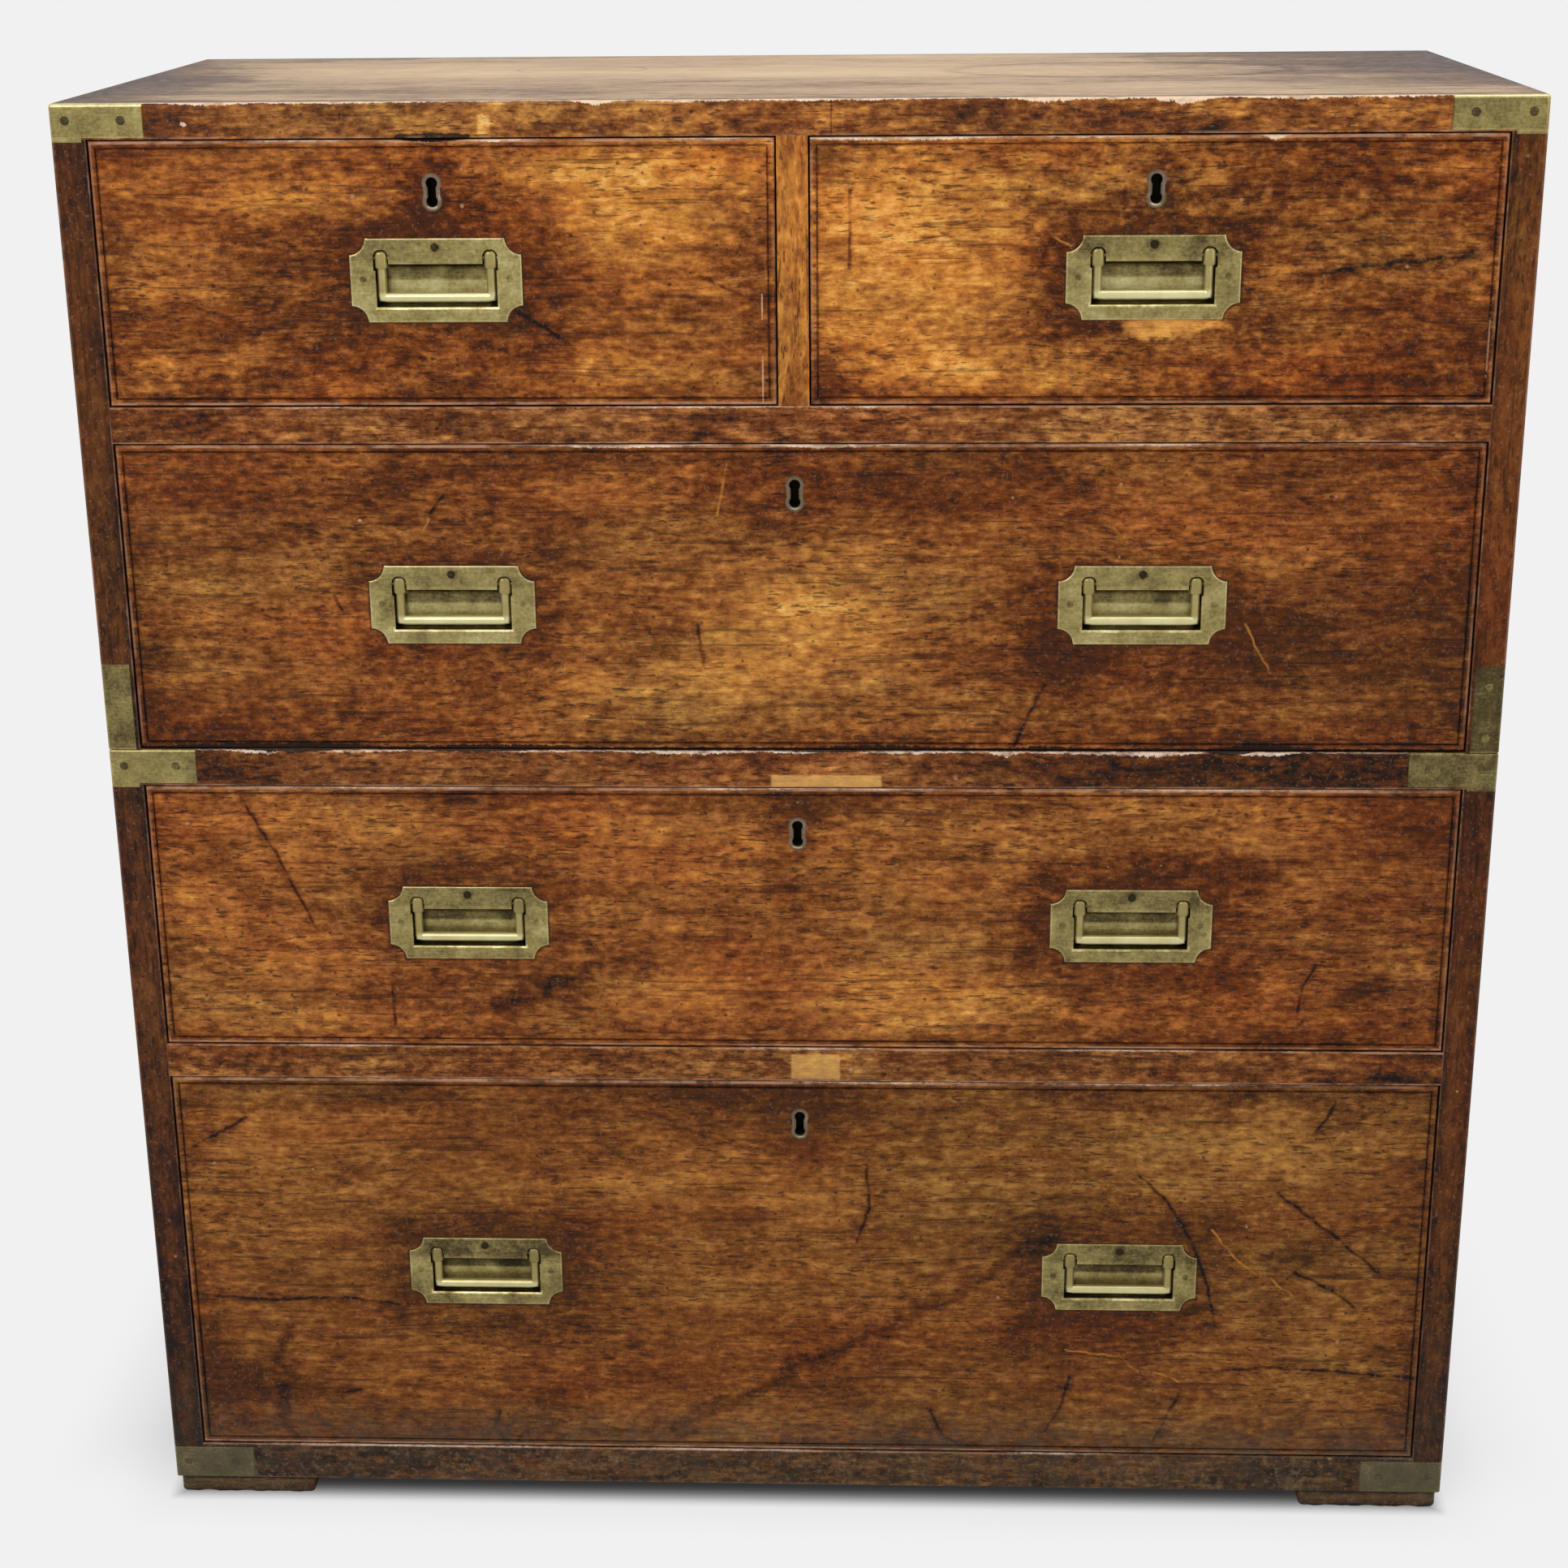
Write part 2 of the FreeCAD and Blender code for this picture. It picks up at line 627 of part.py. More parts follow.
def bolt_masters():
    """Lock bolt at rest, and the mortise it shoots into, about the keyhole's centre."""
    half = "bolt_width / 2"
    bolt = block("bolt_master", ("-" + half, half), ("bolt_face", "bolt_face + bolt_thickness"),
                 ("lock_top - bolt_height", "lock_top"))
    strike = block("strike_master", (f"-{half} - strike_gap", half + " + strike_gap"),
                   ("bolt_face - strike_gap", "bolt_face + bolt_thickness + strike_gap"),
                   ("keyhole_drop", "keyhole_drop + bolt_throw + strike_gap"))
    return bolt, strike


# Drawers ----------------------------------------------------------------------------------------

def beaded_front(name, width, bottom, top, middle):
    """Drawer front with a bead round its face."""
    body = doc.addObject("PartDesign::Body", name)
    put(body, middle, "drawer_face", bottom)
    half, height = f"({width}) / 2", f"({top} - ({bottom}))"
    face = sketch_on(body, name + "_face", "XZ_Plane")
    rectangle(face, "board", ("-" + half, half), ("0", height))
    pad(body, name + "_board", face, "front_thickness", backwards=True)
    ring = sketch_on(body, name + "_ring", "XZ_Plane")
    for line, inset in (("outer", "bead_width"), ("inner", "(bead_width + quirk_width)")):
        rectangle(ring, line, (f"{inset} - {half}", f"{half} - {inset}"),
                  (inset, f"{height} - {inset}"))
    pocket(body, name + "_quirk", ring, "quirk_depth")
    box = body.Shape.BoundBox

    def rim(edge):
        on_face = near(edge.YMax, box.YMin)
        upright = near(edge.XMax, box.XMin) or near(edge.XMin, box.XMax)
        level = near(edge.ZMax, box.ZMin) or near(edge.ZMin, box.ZMax)
        return on_face and (upright or level)

    dress(body, "Fillet", name + "_bead", edges_where(body.Shape, rim), "Radius", "bead_round")
    return body


def drawer(name, ends, sill, head, run, handles, middle):
    """One drawer with its handles, lock and bolt.

    ends are the opening's ends, sill and head its levels, run the level that the drawer slides on,
    handles the names and places of its handles across the chest and middle that of its lock.
    """
    left, right = f"({ends[0]} + drawer_gap)", f"({ends[1]} - drawer_gap)"
    side_levels = (run + " + run_gap", head + " - head_gap")
    floor_low = f"({run} + run_gap + floor_raise)"
    floor = node(block(name + "_bottom",
                       (f"{left} + drawer_side - floor_groove",
                        f"{right} - drawer_side + floor_groove"),
                       ("drawer_front_rear - floor_groove", "drawer_end"),
                       (floor_low, floor_low + " + drawer_floor")))
    along = ("drawer_face + lap", "drawer_end")
    boards = [
        trim(name + "_left_side",
             block(name + "_left_board", (left, left + " + drawer_side"), along, side_levels),
             [floor]),
        trim(name + "_right_side",
             block(name + "_right_board", (right + " - drawer_side", right), along, side_levels),
             [floor]),
        block(name + "_back_board", (left + " + drawer_side", right + " - drawer_side"),
              ("drawer_end - drawer_back", "drawer_end"),
              (floor_low + " + drawer_floor", head + " - head_gap - back_drop")),
    ]
    box = node(group(name + "_box", boards))
    level = f"({sill} + {head}) / 2 - handle_drop"
    keys = f"{head} - keyhole_drop"
    recesses, plates = [], []
    for side, across in handles:
        where = (across, "drawer_face", level)
        recesses.append(copy(f"{name}_{side}handle_recess", handle_recess, *where))
        plates.append(copy(f"{name}_{side}handle_plate", handle_set, *where))
        node(copy(f"{name}_{side}bail", bail_master, *where))
    node(group(name + "_handle_plates", plates))
    where = (middle, "drawer_face", keys)
    recesses.append(copy(name + "_lock_recess", lock_recess, *where))
    node(copy(name + "_lock", lock_set, *where))
    node(copy(name + "_bolt", bolt_master, *where))
    blank = beaded_front(name + "_front_blank", f"{right} - {left}", sill + " + drawer_gap",
                         head + " - drawer_gap", f"({right} + {left}) / 2")
    node(trim(name + "_front", blank, [box, floor] + recesses))
    return copy(name + "_strike", strike_master, *where)


# The chest --------------------------------------------------------------------------------------

fill_sheet()

upper_outline = case_outline("upper_outline", "case_joint", "chest_top")
lower_outline = case_outline("lower_outline", "foot_height", "case_joint")

corner_screw = screw("corner_screw", "screw_length")
BRASSES = {
    "upper_top": ("chest_top", -1, ("top_strap", "(top_strap + strap_step)",
                                    "(top_strap + strap_step)"), upper_outline),
    "upper_foot": ("case_joint", 1, (None, None, "low_strap"), upper_outline),
    "lower_top": ("case_joint", -1, ("joint_strap", "(joint_strap + strap_step)",
                                     "(joint_strap + strap_step)"), lower_outline),
    "lower_foot": ("foot_height", 1, ("base_strap", "base_strap", "base_strap"), lower_outline),
}
brass, brass_screws = {}, {}
for case in ("upper", "lower"):
    plates, screws = [], []
    for level in ("top", "foot"):
        made = left_brasses(f"{case}_{level}", *BRASSES[f"{case}_{level}"])
        plates.extend(made[0])
        screws.extend(made[1])
    left_plates = group(f"{case}_left_brasses", plates)
    left_screws = group(f"{case}_left_screws", screws)
    brass[case] = [left_plates, mirror(f"{case}_right_brasses", left_plates)]
    brass_screws[case] = [left_screws, mirror(f"{case}_right_screws", left_screws)]
    node(group(f"{case}_corner_brasses", brass[case]))
    node(group(f"{case}_corner_screws", brass_screws[case]))

casting = handle_blank()
hollow = handle_hollow()
small_screws = plate_screws()
handle_recess = join("handle_recess", [casting] + small_screws)
handle_set = group("handle_set", [trim("handle_plate", casting, [hollow] + small_screws)]
                   + small_screws)
bail_master = bail()
lock_recess, lock_case, liner = lock_masters()
lock_set = group("lock_set", [lock_case, liner])
bolt_master, strike_master = bolt_masters()

SPAN = ("-inside_half", "inside_half")
LEFT_SPAN = ("-inside_half", "-divider_half")
RIGHT_SPAN = ("divider_half", "inside_half")
LONG_HANDLES = (("left_", "-handle_offset"), ("right_", "handle_offset"))
strikes = {
    1: drawer("drawer_1", LEFT_SPAN, "short_sill", "short_head", "short_sill",
              (("", "-short_middle"),), "-short_middle"),
    2: drawer("drawer_2", RIGHT_SPAN, "short_sill", "short_head", "short_sill",
              (("", "short_middle"),), "short_middle"),
    3: drawer("drawer_3", SPAN, "case_joint", "long_head",
              "(case_joint + upper_bottom_thickness)", LONG_HANDLES, "0"),
    4: drawer("drawer_4", SPAN, "fourth_sill", "fourth_head", "fourth_sill", LONG_HANDLES, "0"),
    5: drawer("drawer_5", SPAN, "deep_sill", "deep_head", "deep_sill", LONG_HANDLES, "0"),
}

# Upper case
divider = node(join("centre_divider", [
    block("divider_board", ("-divider_half", "divider_half"), ("front_face", "panel_front"),
          ("short_sill", "short_head")),
    block("divider_tongues", ("-divider_half", "divider_half"),
          ("front_face + shoulder", "panel_front"),
          ("short_sill - divider_tongue", "short_head + divider_tongue")),
]))
upper_back = node(back_panel("upper_back", "case_joint", "short_head"))
upper_rail_bar = rail("upper_rail_bar", ("front_face", "rail_rear"), ("long_head", "short_sill"))
upper_rail = node(trim("upper_rail", upper_rail_bar, [divider, strikes[3]]))
dowels = []
for index, (x, y) in enumerate(((-1, -1), (1, -1), (-1, 1), (1, 1)), start=1):
    spot = (f"{x} * (case_half - dowel_inset)", f"{y} * (rear_face - dowel_inset)")
    dowels.append((index, spot))
dowel_holes = [rod(f"dowel_hole_{index}", ALONG_Z, "dowel_radius + dowel_gap",
                   "dowel_rise + dowel_gap", *spot, "case_joint") for index, spot in dowels]
upper_bottom = node(trim("upper_bottom", block(
    "upper_bottom_board", ("-tenon_half", "tenon_half"), ("stop_face", "panel_front"),
    ("case_joint", "case_joint + upper_bottom_thickness")), dowel_holes))
upper_tongue = head_tongue("upper_tongue", "short_head")
upper_left = node(side_board("upper_side_left", "case_joint", "short_head", upper_tongue,
                             upper_outline, [upper_back, upper_rail_bar, upper_bottom,
                                             brass["upper"][0], brass_screws["upper"][0]]))
node(mirror("upper_side_right", upper_left))
node(top_board("upper_top", ("short_head", "chest_top"), upper_outline,
               [upper_back, divider, upper_tongue, mirror("upper_tongue_right", upper_tongue),
                strikes[1], strikes[2]] + brass["upper"] + brass_screws["upper"]))
upper_runner = side_runner("upper_runner_left", ("long_head", "short_sill"))
middle_runner = trim("middle_runner", block(
    "middle_runner_bar", ("-middle_runner_width / 2", "middle_runner_width / 2"),
    ("rail_rear", "panel_front"), ("long_head", "short_sill")), [divider])
node(group("upper_runners_and_stops",
           [upper_runner, mirror("upper_runner_right", upper_runner), middle_runner]
           + stops("left_stop", LEFT_SPAN, "short_sill")
           + stops("right_stop", RIGHT_SPAN, "short_sill")))

# Lower case
lower_back = node(back_panel("lower_back", "foot_height", "fourth_head"))
mid_rail = rail("mid_rail_bar", ("front_face", "rail_rear"), ("deep_head", "fourth_sill"))
node(trim("lower_rail", mid_rail, [strikes[5]]))
base_bars = group("base_rail_bars", [
    rail("front_base_rail", ("front_face", "rail_rear"), ("foot_height", "deep_sill")),
    rail("rear_base_rail", ("panel_front - rail_depth", "panel_front"),
         ("foot_height", "deep_sill")),
])
node(trim("base_rails", base_bars, brass["lower"] + brass_screws["lower"]))
lower_bottom = node(block("lower_bottom", ("-tenon_half", "tenon_half"),
                          ("rail_rear", "panel_front - rail_depth"),
                          ("deep_sill - lower_bottom_thickness", "deep_sill")))
lower_tongue = head_tongue("lower_tongue", "fourth_head")
lower_left = node(side_board("lower_side_left", "foot_height", "fourth_head", lower_tongue,
                             lower_outline, [lower_back, mid_rail, base_bars, lower_bottom,
                                             brass["lower"][0], brass_screws["lower"][0]]))
node(mirror("lower_side_right", lower_left))
pegs = node(group("locating_dowels", [
    rod(f"dowel_{index}", ALONG_Z, "dowel_radius", "dowel_root + dowel_rise", *spot,
        "case_joint - dowel_root") for index, spot in dowels]))
node(top_board("lower_top", ("fourth_head", "case_joint"), lower_outline,
               [lower_back, lower_tongue, mirror("lower_tongue_right", lower_tongue), strikes[4],
                pegs] + brass["lower"] + brass_screws["lower"]))
lower_runner = side_runner("lower_runner_left", ("deep_head", "fourth_sill"))
node(group("lower_runners_and_stops",
           [lower_runner, mirror("lower_runner_right", lower_runner)]
           + stops("fourth_stop", SPAN, "fourth_sill") + stops("deep_stop", SPAN, "deep_sill")))

# Feet
foot_master = foot()
left_feet = group("left_feet", [
    copy("front_foot", foot_master, "foot_inset - case_half", "front_face + foot_inset", "0"),
    copy("rear_foot", foot_master, "foot_inset - case_half",
         "rear_face - foot_inset - foot_length", "0"),
])
node(group("feet", [left_feet, mirror("right_feet", left_feet)]))


# Checks and files -------------------------------------------------------------------------------

def write_parts():
    """Recompute, stop at anything that failed, and write one file for each sub-part."""
    doc.recompute()
    failed = [thing.Name for thing in doc.Objects if {"Invalid", "Error"} & set(thing.State)]
    if failed:
        raise RuntimeError("failed objects: " + ", ".join(failed))
    for piece in nodes:
        if piece.Shape.isNull() or not piece.Shape.isValid() or not piece.Shape.Solids:
            raise RuntimeError("bad shape: " + piece.Label)
    os.makedirs("parts", exist_ok=True)
    for piece in nodes:
        piece.Shape.exportStep(f"parts/{piece.Label}.step")
        print(f"{piece.Label}: {len(piece.Shape.Solids)} solids, "
              f"{piece.Shape.Volume / 1000:.1f} cm3")
    print(len(nodes), "nodes")


write_parts()
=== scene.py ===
import functools
import json
import math

import bmesh
import bpy
import numpy as np
from bpy.props import FloatProperty, FloatVectorProperty, PointerProperty
from mathutils import Matrix, Vector

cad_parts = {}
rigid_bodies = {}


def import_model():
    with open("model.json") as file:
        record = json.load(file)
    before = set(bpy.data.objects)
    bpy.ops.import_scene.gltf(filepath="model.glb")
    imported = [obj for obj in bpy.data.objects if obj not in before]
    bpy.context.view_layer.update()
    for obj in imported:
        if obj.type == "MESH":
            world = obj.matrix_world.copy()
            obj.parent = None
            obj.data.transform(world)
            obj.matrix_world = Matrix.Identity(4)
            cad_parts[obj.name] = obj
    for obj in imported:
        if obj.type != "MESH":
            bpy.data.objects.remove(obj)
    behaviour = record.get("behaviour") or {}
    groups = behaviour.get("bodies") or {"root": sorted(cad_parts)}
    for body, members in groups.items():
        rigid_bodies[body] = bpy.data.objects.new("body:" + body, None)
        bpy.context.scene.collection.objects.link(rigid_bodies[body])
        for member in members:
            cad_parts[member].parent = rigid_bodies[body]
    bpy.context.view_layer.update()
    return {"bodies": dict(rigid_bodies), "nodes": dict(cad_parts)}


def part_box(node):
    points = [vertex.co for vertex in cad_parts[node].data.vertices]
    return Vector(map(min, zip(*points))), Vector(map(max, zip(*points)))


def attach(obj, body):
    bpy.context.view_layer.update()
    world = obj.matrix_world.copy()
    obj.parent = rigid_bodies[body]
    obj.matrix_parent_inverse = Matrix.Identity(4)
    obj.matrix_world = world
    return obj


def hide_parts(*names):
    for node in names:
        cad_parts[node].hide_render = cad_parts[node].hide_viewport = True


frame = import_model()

bl_info = {
    "name": "Campaign Chest",
    "version": (1, 0, 0),
    "blender": (4, 5, 0),
    "location": "3D Viewport > Sidebar > Chest",
    "description": "Finishes a campaign chest in old mahogany and patinated brass",
    "category": "Object",
}

MM = 0.001
TOP_LOW, TOP_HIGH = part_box("upper_top")
HALF_WIDE, HALF_DEEP, TOP = TOP_HIGH
FRONT = -HALF_DEEP                               # front plane of the cases
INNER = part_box("lower_side_right")[0].x          # inner face of a side
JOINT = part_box("lower_top")[1].z                 # where the upper case stands on the lower one
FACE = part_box("drawer_3_front")[0].y             # the drawer fronts' face
DRAWERS = tuple(f"drawer_{number}" for number in range(1, 6))
KEY_DROP = 34.3 * MM                             # from a front's top to the middle of its keyhole
ONTO_FRONT = (1.0, 0.0, 1.0)                     # flattens a point onto the front's plane
ONTO_FLOOR = (1.0, 1.0, 0.0)                     # and onto a level one

# a handle plate about its middle: half its size in metres, and then all in millimetres
PLATE_LOW, PLATE_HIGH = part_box("drawer_1_handle_plates")
PLATE_HALF = (PLATE_HIGH - PLATE_LOW) / 2
PLATE_X, PLATE_Z = round(PLATE_HALF.x / MM, 2), round(PLATE_HALF.z / MM, 2)
NOTCH = 11.0                                     # radius of its hollow corners
WELL_X, WELL_TOP, WELL_FOOT = 41.0, 10.75, -17.75
WELL_DEEP, WELL_ROUND = 10.0, 8.0                # and the radius along its top and foot
WELL_MIDDLE, WELL_HALF = (WELL_TOP + WELL_FOOT) / 2, (WELL_TOP - WELL_FOOT) / 2
SCREW_TOP, SCREW_X, SCREW_Z = 21.95, 49.8, 0.8   # the screw above the well, and those beside it
ARM_X = 37.1                                     # the bail's arms
PIVOT_Y, PIVOT_Z = 3.6, 14.75                    # its pins, behind the plate's face
BOSS_TOP = 3.3                                   # from the solid pins to the top of their knuckles
SLOT_HALF, SLOT_DEEP = 4.9, 9.3                  # slots for the knuckles, with round heads
SLOT_HEAD, SLOT_FOOT = PIVOT_Z + 0.65, 6.8
LIP_WIDE, LIP_DEEP, LIP_LOW = 1.8, 0.45, 0.9     # rounding of the well's lip, deeper at its foot
BEVEL_WIDE, BEVEL_DEEP = 1.3, 0.55               # the plate's worn rim
CUP_X, CUP_TOP, CUP_FOOT = 44.3, 21.5, -19.0     # the cup behind the well
CUP_BACK, PLATE_BACK = 11.4, 1.95                # backs of the cup and of the plate round it
LINER_STRAIGHT = 5.95                            # half the straight part of a keyhole's liner


def paint(red, green, blue):
    """Linear colour of a screen colour given from 0 to 255."""
    return tuple(((v / 255 + 0.055) / 1.055) ** 2.4 if v > 10 else v / 255 / 12.92
                 for v in (red, green, blue))


def keyhole(drawer):
    """Where the middle of a drawer's keyhole is, across and up."""
    low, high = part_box(drawer + "_lock")
    return (low.x + high.x) / 2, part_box(drawer + "_front")[1].z - KEY_DROP


# Shaders ----------------------------------------------------------------------------------------

class Wire:
    """A shader socket in an expression: each operator adds the node that it stands for."""

    def __init__(self, net, socket):
        self.net, self.socket = net, socket

    def _with(self, operation, *terms):
        vector = any(isinstance(term, tuple) or isinstance(term, Wire)
                     and term.socket.type in ("VECTOR", "RGBA") for term in terms)
        if vector:
            terms = [(term,) * 3 if isinstance(term, (int, float)) else term for term in terms]
        kind = "ShaderNodeVectorMath" if vector else "ShaderNodeMath"
        return self.net.add(kind, {"operation": operation}, terms)

    def __add__(self, other):
        return self._with("ADD", self, other)

    __radd__ = __add__

    def __sub__(self, other):
        return self._with("SUBTRACT", self, other)

    def __rsub__(self, other):
        return self._with("SUBTRACT", other, self)

    def __mul__(self, other):
        return self._with("MULTIPLY", self, other)

    __rmul__ = __mul__

    def __truediv__(self, other):
        return self._with("DIVIDE", self, other)

    def __rtruediv__(self, other):
        return self._with("DIVIDE", other, self)

    def __abs__(self):
        return self._with("ABSOLUTE", self)

    def least(self, other):
        return self._with("MINIMUM", self, other)

    def most(self, other):
        return self._with("MAXIMUM", self, other)

    def rise(self, low, high, bottom=0.0, top=1.0):
        """Smooth step from bottom, below low, to top, above high."""
        return self.net.add("ShaderNodeMapRange", {"interpolation_type": "SMOOTHSTEP"},
                            (self, low, high, bottom, top))

    def fall(self, low, high, top=1.0):
        """Smooth step from top, below low, to nothing, above high."""
        return self.rise(low, high, top, 0.0)

    def band(self, low, high, soft):
        """1 between two values and 0 outside them."""
        return self.rise(low - soft, low + soft) * self.fall(high - soft, high + soft)

    def size(self):
        """Length of a vector."""
        return self.net.add("ShaderNodeVectorMath", {"operation": "LENGTH"}, (self,), 1)

    def parts(self):
        """The three numbers of a vector."""
        node = self.net.node("ShaderNodeSeparateXYZ", {}, (self,))
        return [Wire(self.net, socket) for socket in node.outputs]


def highest(wires):
    """The largest of several numbers."""
    return functools.reduce(Wire.most, wires)


class Net:
    """The nodes of a material or a world."""

    def __init__(self, owner):
        owner.use_nodes = True
        self.owner, self.tree = owner, owner.node_tree
        self.tree.nodes.clear()

    def node(self, kind, settings, values):
        """Any node: its type, its settings, set first, and its sockets' values or links."""
        node = self.tree.nodes.new(kind)
        for name, value in settings.items():
            if name == "stops":
                elements = node.color_ramp.elements
                while len(elements) < len(value):
                    elements.new(0.5)
                for element, (place, colour) in zip(elements, value):
                    element.position, element.color = place, (*colour, 1.0)
            else:
                setattr(node, name, value)
        for key, value in values.items() if isinstance(values, dict) else enumerate(values):
            socket = node.inputs[key]
            if isinstance(value, Wire):
                self.tree.links.new(value.socket, socket)
            elif socket.type == "RGBA":
                socket.default_value = (*value, 1.0)
            else:
                socket.default_value = value
        return node

    def add(self, kind, settings, values, out=0):
        """One output of a new node."""
        return Wire(self, self.node(kind, settings, values).outputs[out])

    @functools.cached_property
    def place(self):
        """The point on the chest, in metres."""
        return self.add("ShaderNodeTexCoord", {}, (), "Object")

    @functools.cached_property
    def where(self):
        """How far across, deep and high that point is."""
        return self.place.parts()

    def attribute(self, name, out):
        return self.add("ShaderNodeAttribute", {"attribute_name": name}, (), out)

    def xyz(self, across, depth, height):
        return self.add("ShaderNodeCombineXYZ", {}, (across, depth, height))

    def noise(self, where, scale, detail=2.0, rough=0.5, out="Fac"):
        return self.add("ShaderNodeTexNoise", {},
                        {"Vector": where, "Scale": scale, "Detail": detail, "Roughness": rough}, out)

    def warp(self, where, scale, detail, rough, reach):
        """A point shifted by a coloured noise, up to about half of reach each way."""
        return where + (self.noise(where, scale, detail, rough, "Color") - 0.5) * reach

    def stretch(self, where, scale, shift):
        """A point scaled along each axis and shifted."""
        return self.add("ShaderNodeVectorMath", {"operation": "MULTIPLY_ADD"},
                        (where, scale, shift))

    def streaks(self, where, grain, shift, run, rise, detail, rough=0.5):
        """Noise with run cells to a metre along the axis grain and rise across it."""
        scale = tuple(run if axis == grain else rise for axis in "xyz")
        return self.noise(self.stretch(where, scale, shift), 1.0, detail, rough)

    def tint(self, mask, under, over):
        """One colour over another by a mask."""
        return self.add("ShaderNodeMix", {"data_type": "RGBA"}, {0: mask, 6: under, 7: over}, 2)

    def ramp(self, value, stops):
        return self.add("ShaderNodeValToRGB", {"stops": stops}, (value,))

    def spot(self, where, middle, reach, strength):
        """Strength at an ellipse's middle, falling smoothly to nothing at its rim."""
        scale = tuple(1 / size for size in reach)
        local = self.stretch(where, scale, tuple(-m * s for m, s in zip(middle, scale)))
        return local.size().fall(0.0, 1.0, strength)

    def flat_spot(self, where, x, z, wide, tall, strength):
        """A spot on the front, in millimetres."""
        return self.spot(where, (x * MM, 0.0, z * MM), (wide * MM, 1.0, tall * MM), strength)

    def blots(self, tone, where, spots, share=None):
        """Tone with spots of the front added, each kept to a share."""
        for spot in spots:
            change = self.flat_spot(where, *spot)
            tone = tone + (change if share is None else change * share)
        return tone

    def stroke(self, where, points):
        """Distance to a line of straight strokes on the front: its points are in millimetres."""
        points = [np.array((x * MM, 0.0, z * MM)) for x, z in points]
        reaches = []
        for start, end in zip(points, points[1:]):
            along = end - start
            offset = where - tuple(start)
            share = self.add("ShaderNodeVectorMath", {"operation": "DOT_PRODUCT"},
                             (offset, tuple(along / (along @ along))), 1)
            share = self.add("ShaderNodeClamp", {}, (share,))
            foot = self.add("ShaderNodeVectorMath", {"operation": "SCALE"},
                            {0: tuple(along), "Scale": share})
            reaches.append((offset - foot).size())
        return functools.reduce(Wire.least, reaches)

    def strokes(self, where, lines):
        """Distance to the nearest of several such lines."""
        return functools.reduce(Wire.least, [self.stroke(where, points) for points in lines])

    def seen(self):
        """1 for what the camera sees, directly, mirrored or through glass, and 0 for other light."""
        path = self.node("ShaderNodeLightPath", {}, ())
        return highest([Wire(self, path.outputs[f"Is {ray} Ray"])
                        for ray in ("Camera", "Glossy", "Transmission")])

    def finish(self, colour, rough, height=None, depth=0.0, **fixed):
        """Principled surface from a colour, a roughness and a height; fixed are plain values."""
        values = {"Base Color": colour, "Roughness": rough}
        values.update({key.replace("_", " "): value for key, value in fixed.items()})
        if height is not None:
            values["Normal"] = self.add("ShaderNodeBump", {}, {
                "Height": height, "Distance": depth, "Strength": 1.0})
        surface = self.add("ShaderNodeBsdfPrincipled", {}, values)
        self.node("ShaderNodeOutputMaterial", {}, {"Surface": surface})
        return self.owner


def new_material(name):
    return Net(bpy.data.materials.new(name))


# Settings ---------------------------------------------------------------------------------------

def colour_property(name, description, red, green, blue):
    return FloatVectorProperty(name=name, description=description, subtype="COLOR", size=3,
                               min=0.0, max=1.0, default=paint(red, green, blue))


class TimberSettings(bpy.types.PropertyGroup):
    """Colours of the mahogany, from its deepest shadow to bare worn wood."""

    # also paints the shade in chipped gaps and inside the keyholes
    black: colour_property("Black", "Pores, cracks and dirt", 22, 11, 7)
    deep: colour_property("Deep", "Polish that has gone dark", 60, 28, 8)
    red: colour_property("Red", "Unfaded mahogany", 91, 44, 11)
    brown: colour_property("Brown", "Faded mahogany", 120, 66, 23)
    amber: colour_property("Amber", "Sunned mahogany", 158, 97, 43)
    gold: colour_property("Gold", "Polish worn thin", 195, 129, 55)
    straw: colour_property("Straw", "Bright lights in the figure", 222, 160, 79)
    light: colour_property("Light", "Brightest lights in the figure", 242, 191, 110)
    # also the colour of the painted sheen flecks and of the painted highlight along worn arrises
    bare_and_highlight: colour_property("Bare", "Wood worn through the polish on an arris", 198, 150, 118)
    dust: colour_property("Dust", "Grey dirt near the floor", 96, 80, 62)
    bloom_and_glare: colour_property("Haze", "Dulled polish on top of the chest", 192, 160, 122)
    lining: colour_property("Lining", "Dry wood inside the drawers and the cases", 150, 112, 72)
    sheen: FloatProperty(name="Sheen", description="Roughness of the waxed polish",
                         default=0.42, min=0.05, max=1.0, subtype="FACTOR")
    gloss: FloatProperty(name="Gloss", description="How much the waxed polish reflects",
                         default=0.11, min=0.0, max=1.0, subtype="FACTOR")


class BrassSettings(bpy.types.PropertyGroup):
    """Colours of the brass."""

    patina: colour_property("Patina", "Dull olive skin", 158, 142, 88)
    # also the colour of the painted highlights on the bails, plates and corner brasses
    bright: colour_property("Bright", "Brass rubbed by hands", 230, 224, 172)
    # also the darkest tones, which paint the shade in the handle wells and in the keyholes
    dirt: colour_property("Dirt", "Old polish and dust in the corners", 84, 72, 42)
    liner: colour_property("Liner", "Brown brass round the keyholes", 118, 100, 86)
    roughness: FloatProperty(name="Roughness", description="Roughness of the patina",
                             default=0.40, min=0.05, max=1.0, subtype="FACTOR")


class StageSettings(bpy.types.PropertyGroup):
    """Floor, lamps and camera."""

    ground: colour_property("Ground", "Floor and background", 241, 241, 241)
    sky: FloatProperty(name="Sky", description="Strength of the light from all round",
                       default=0.34, min=0.0, max=4.0)
    lamp: FloatProperty(name="Lamp", description="Power of the large soft lamp",
                        default=60.0, min=0.0, max=2000.0, unit="POWER")
    lens: FloatProperty(name="Lens", description="Focal length",
                        default=64.19, min=10.0, max=300.0, unit="CAMERA")


# Mahogany ---------------------------------------------------------------------------------------

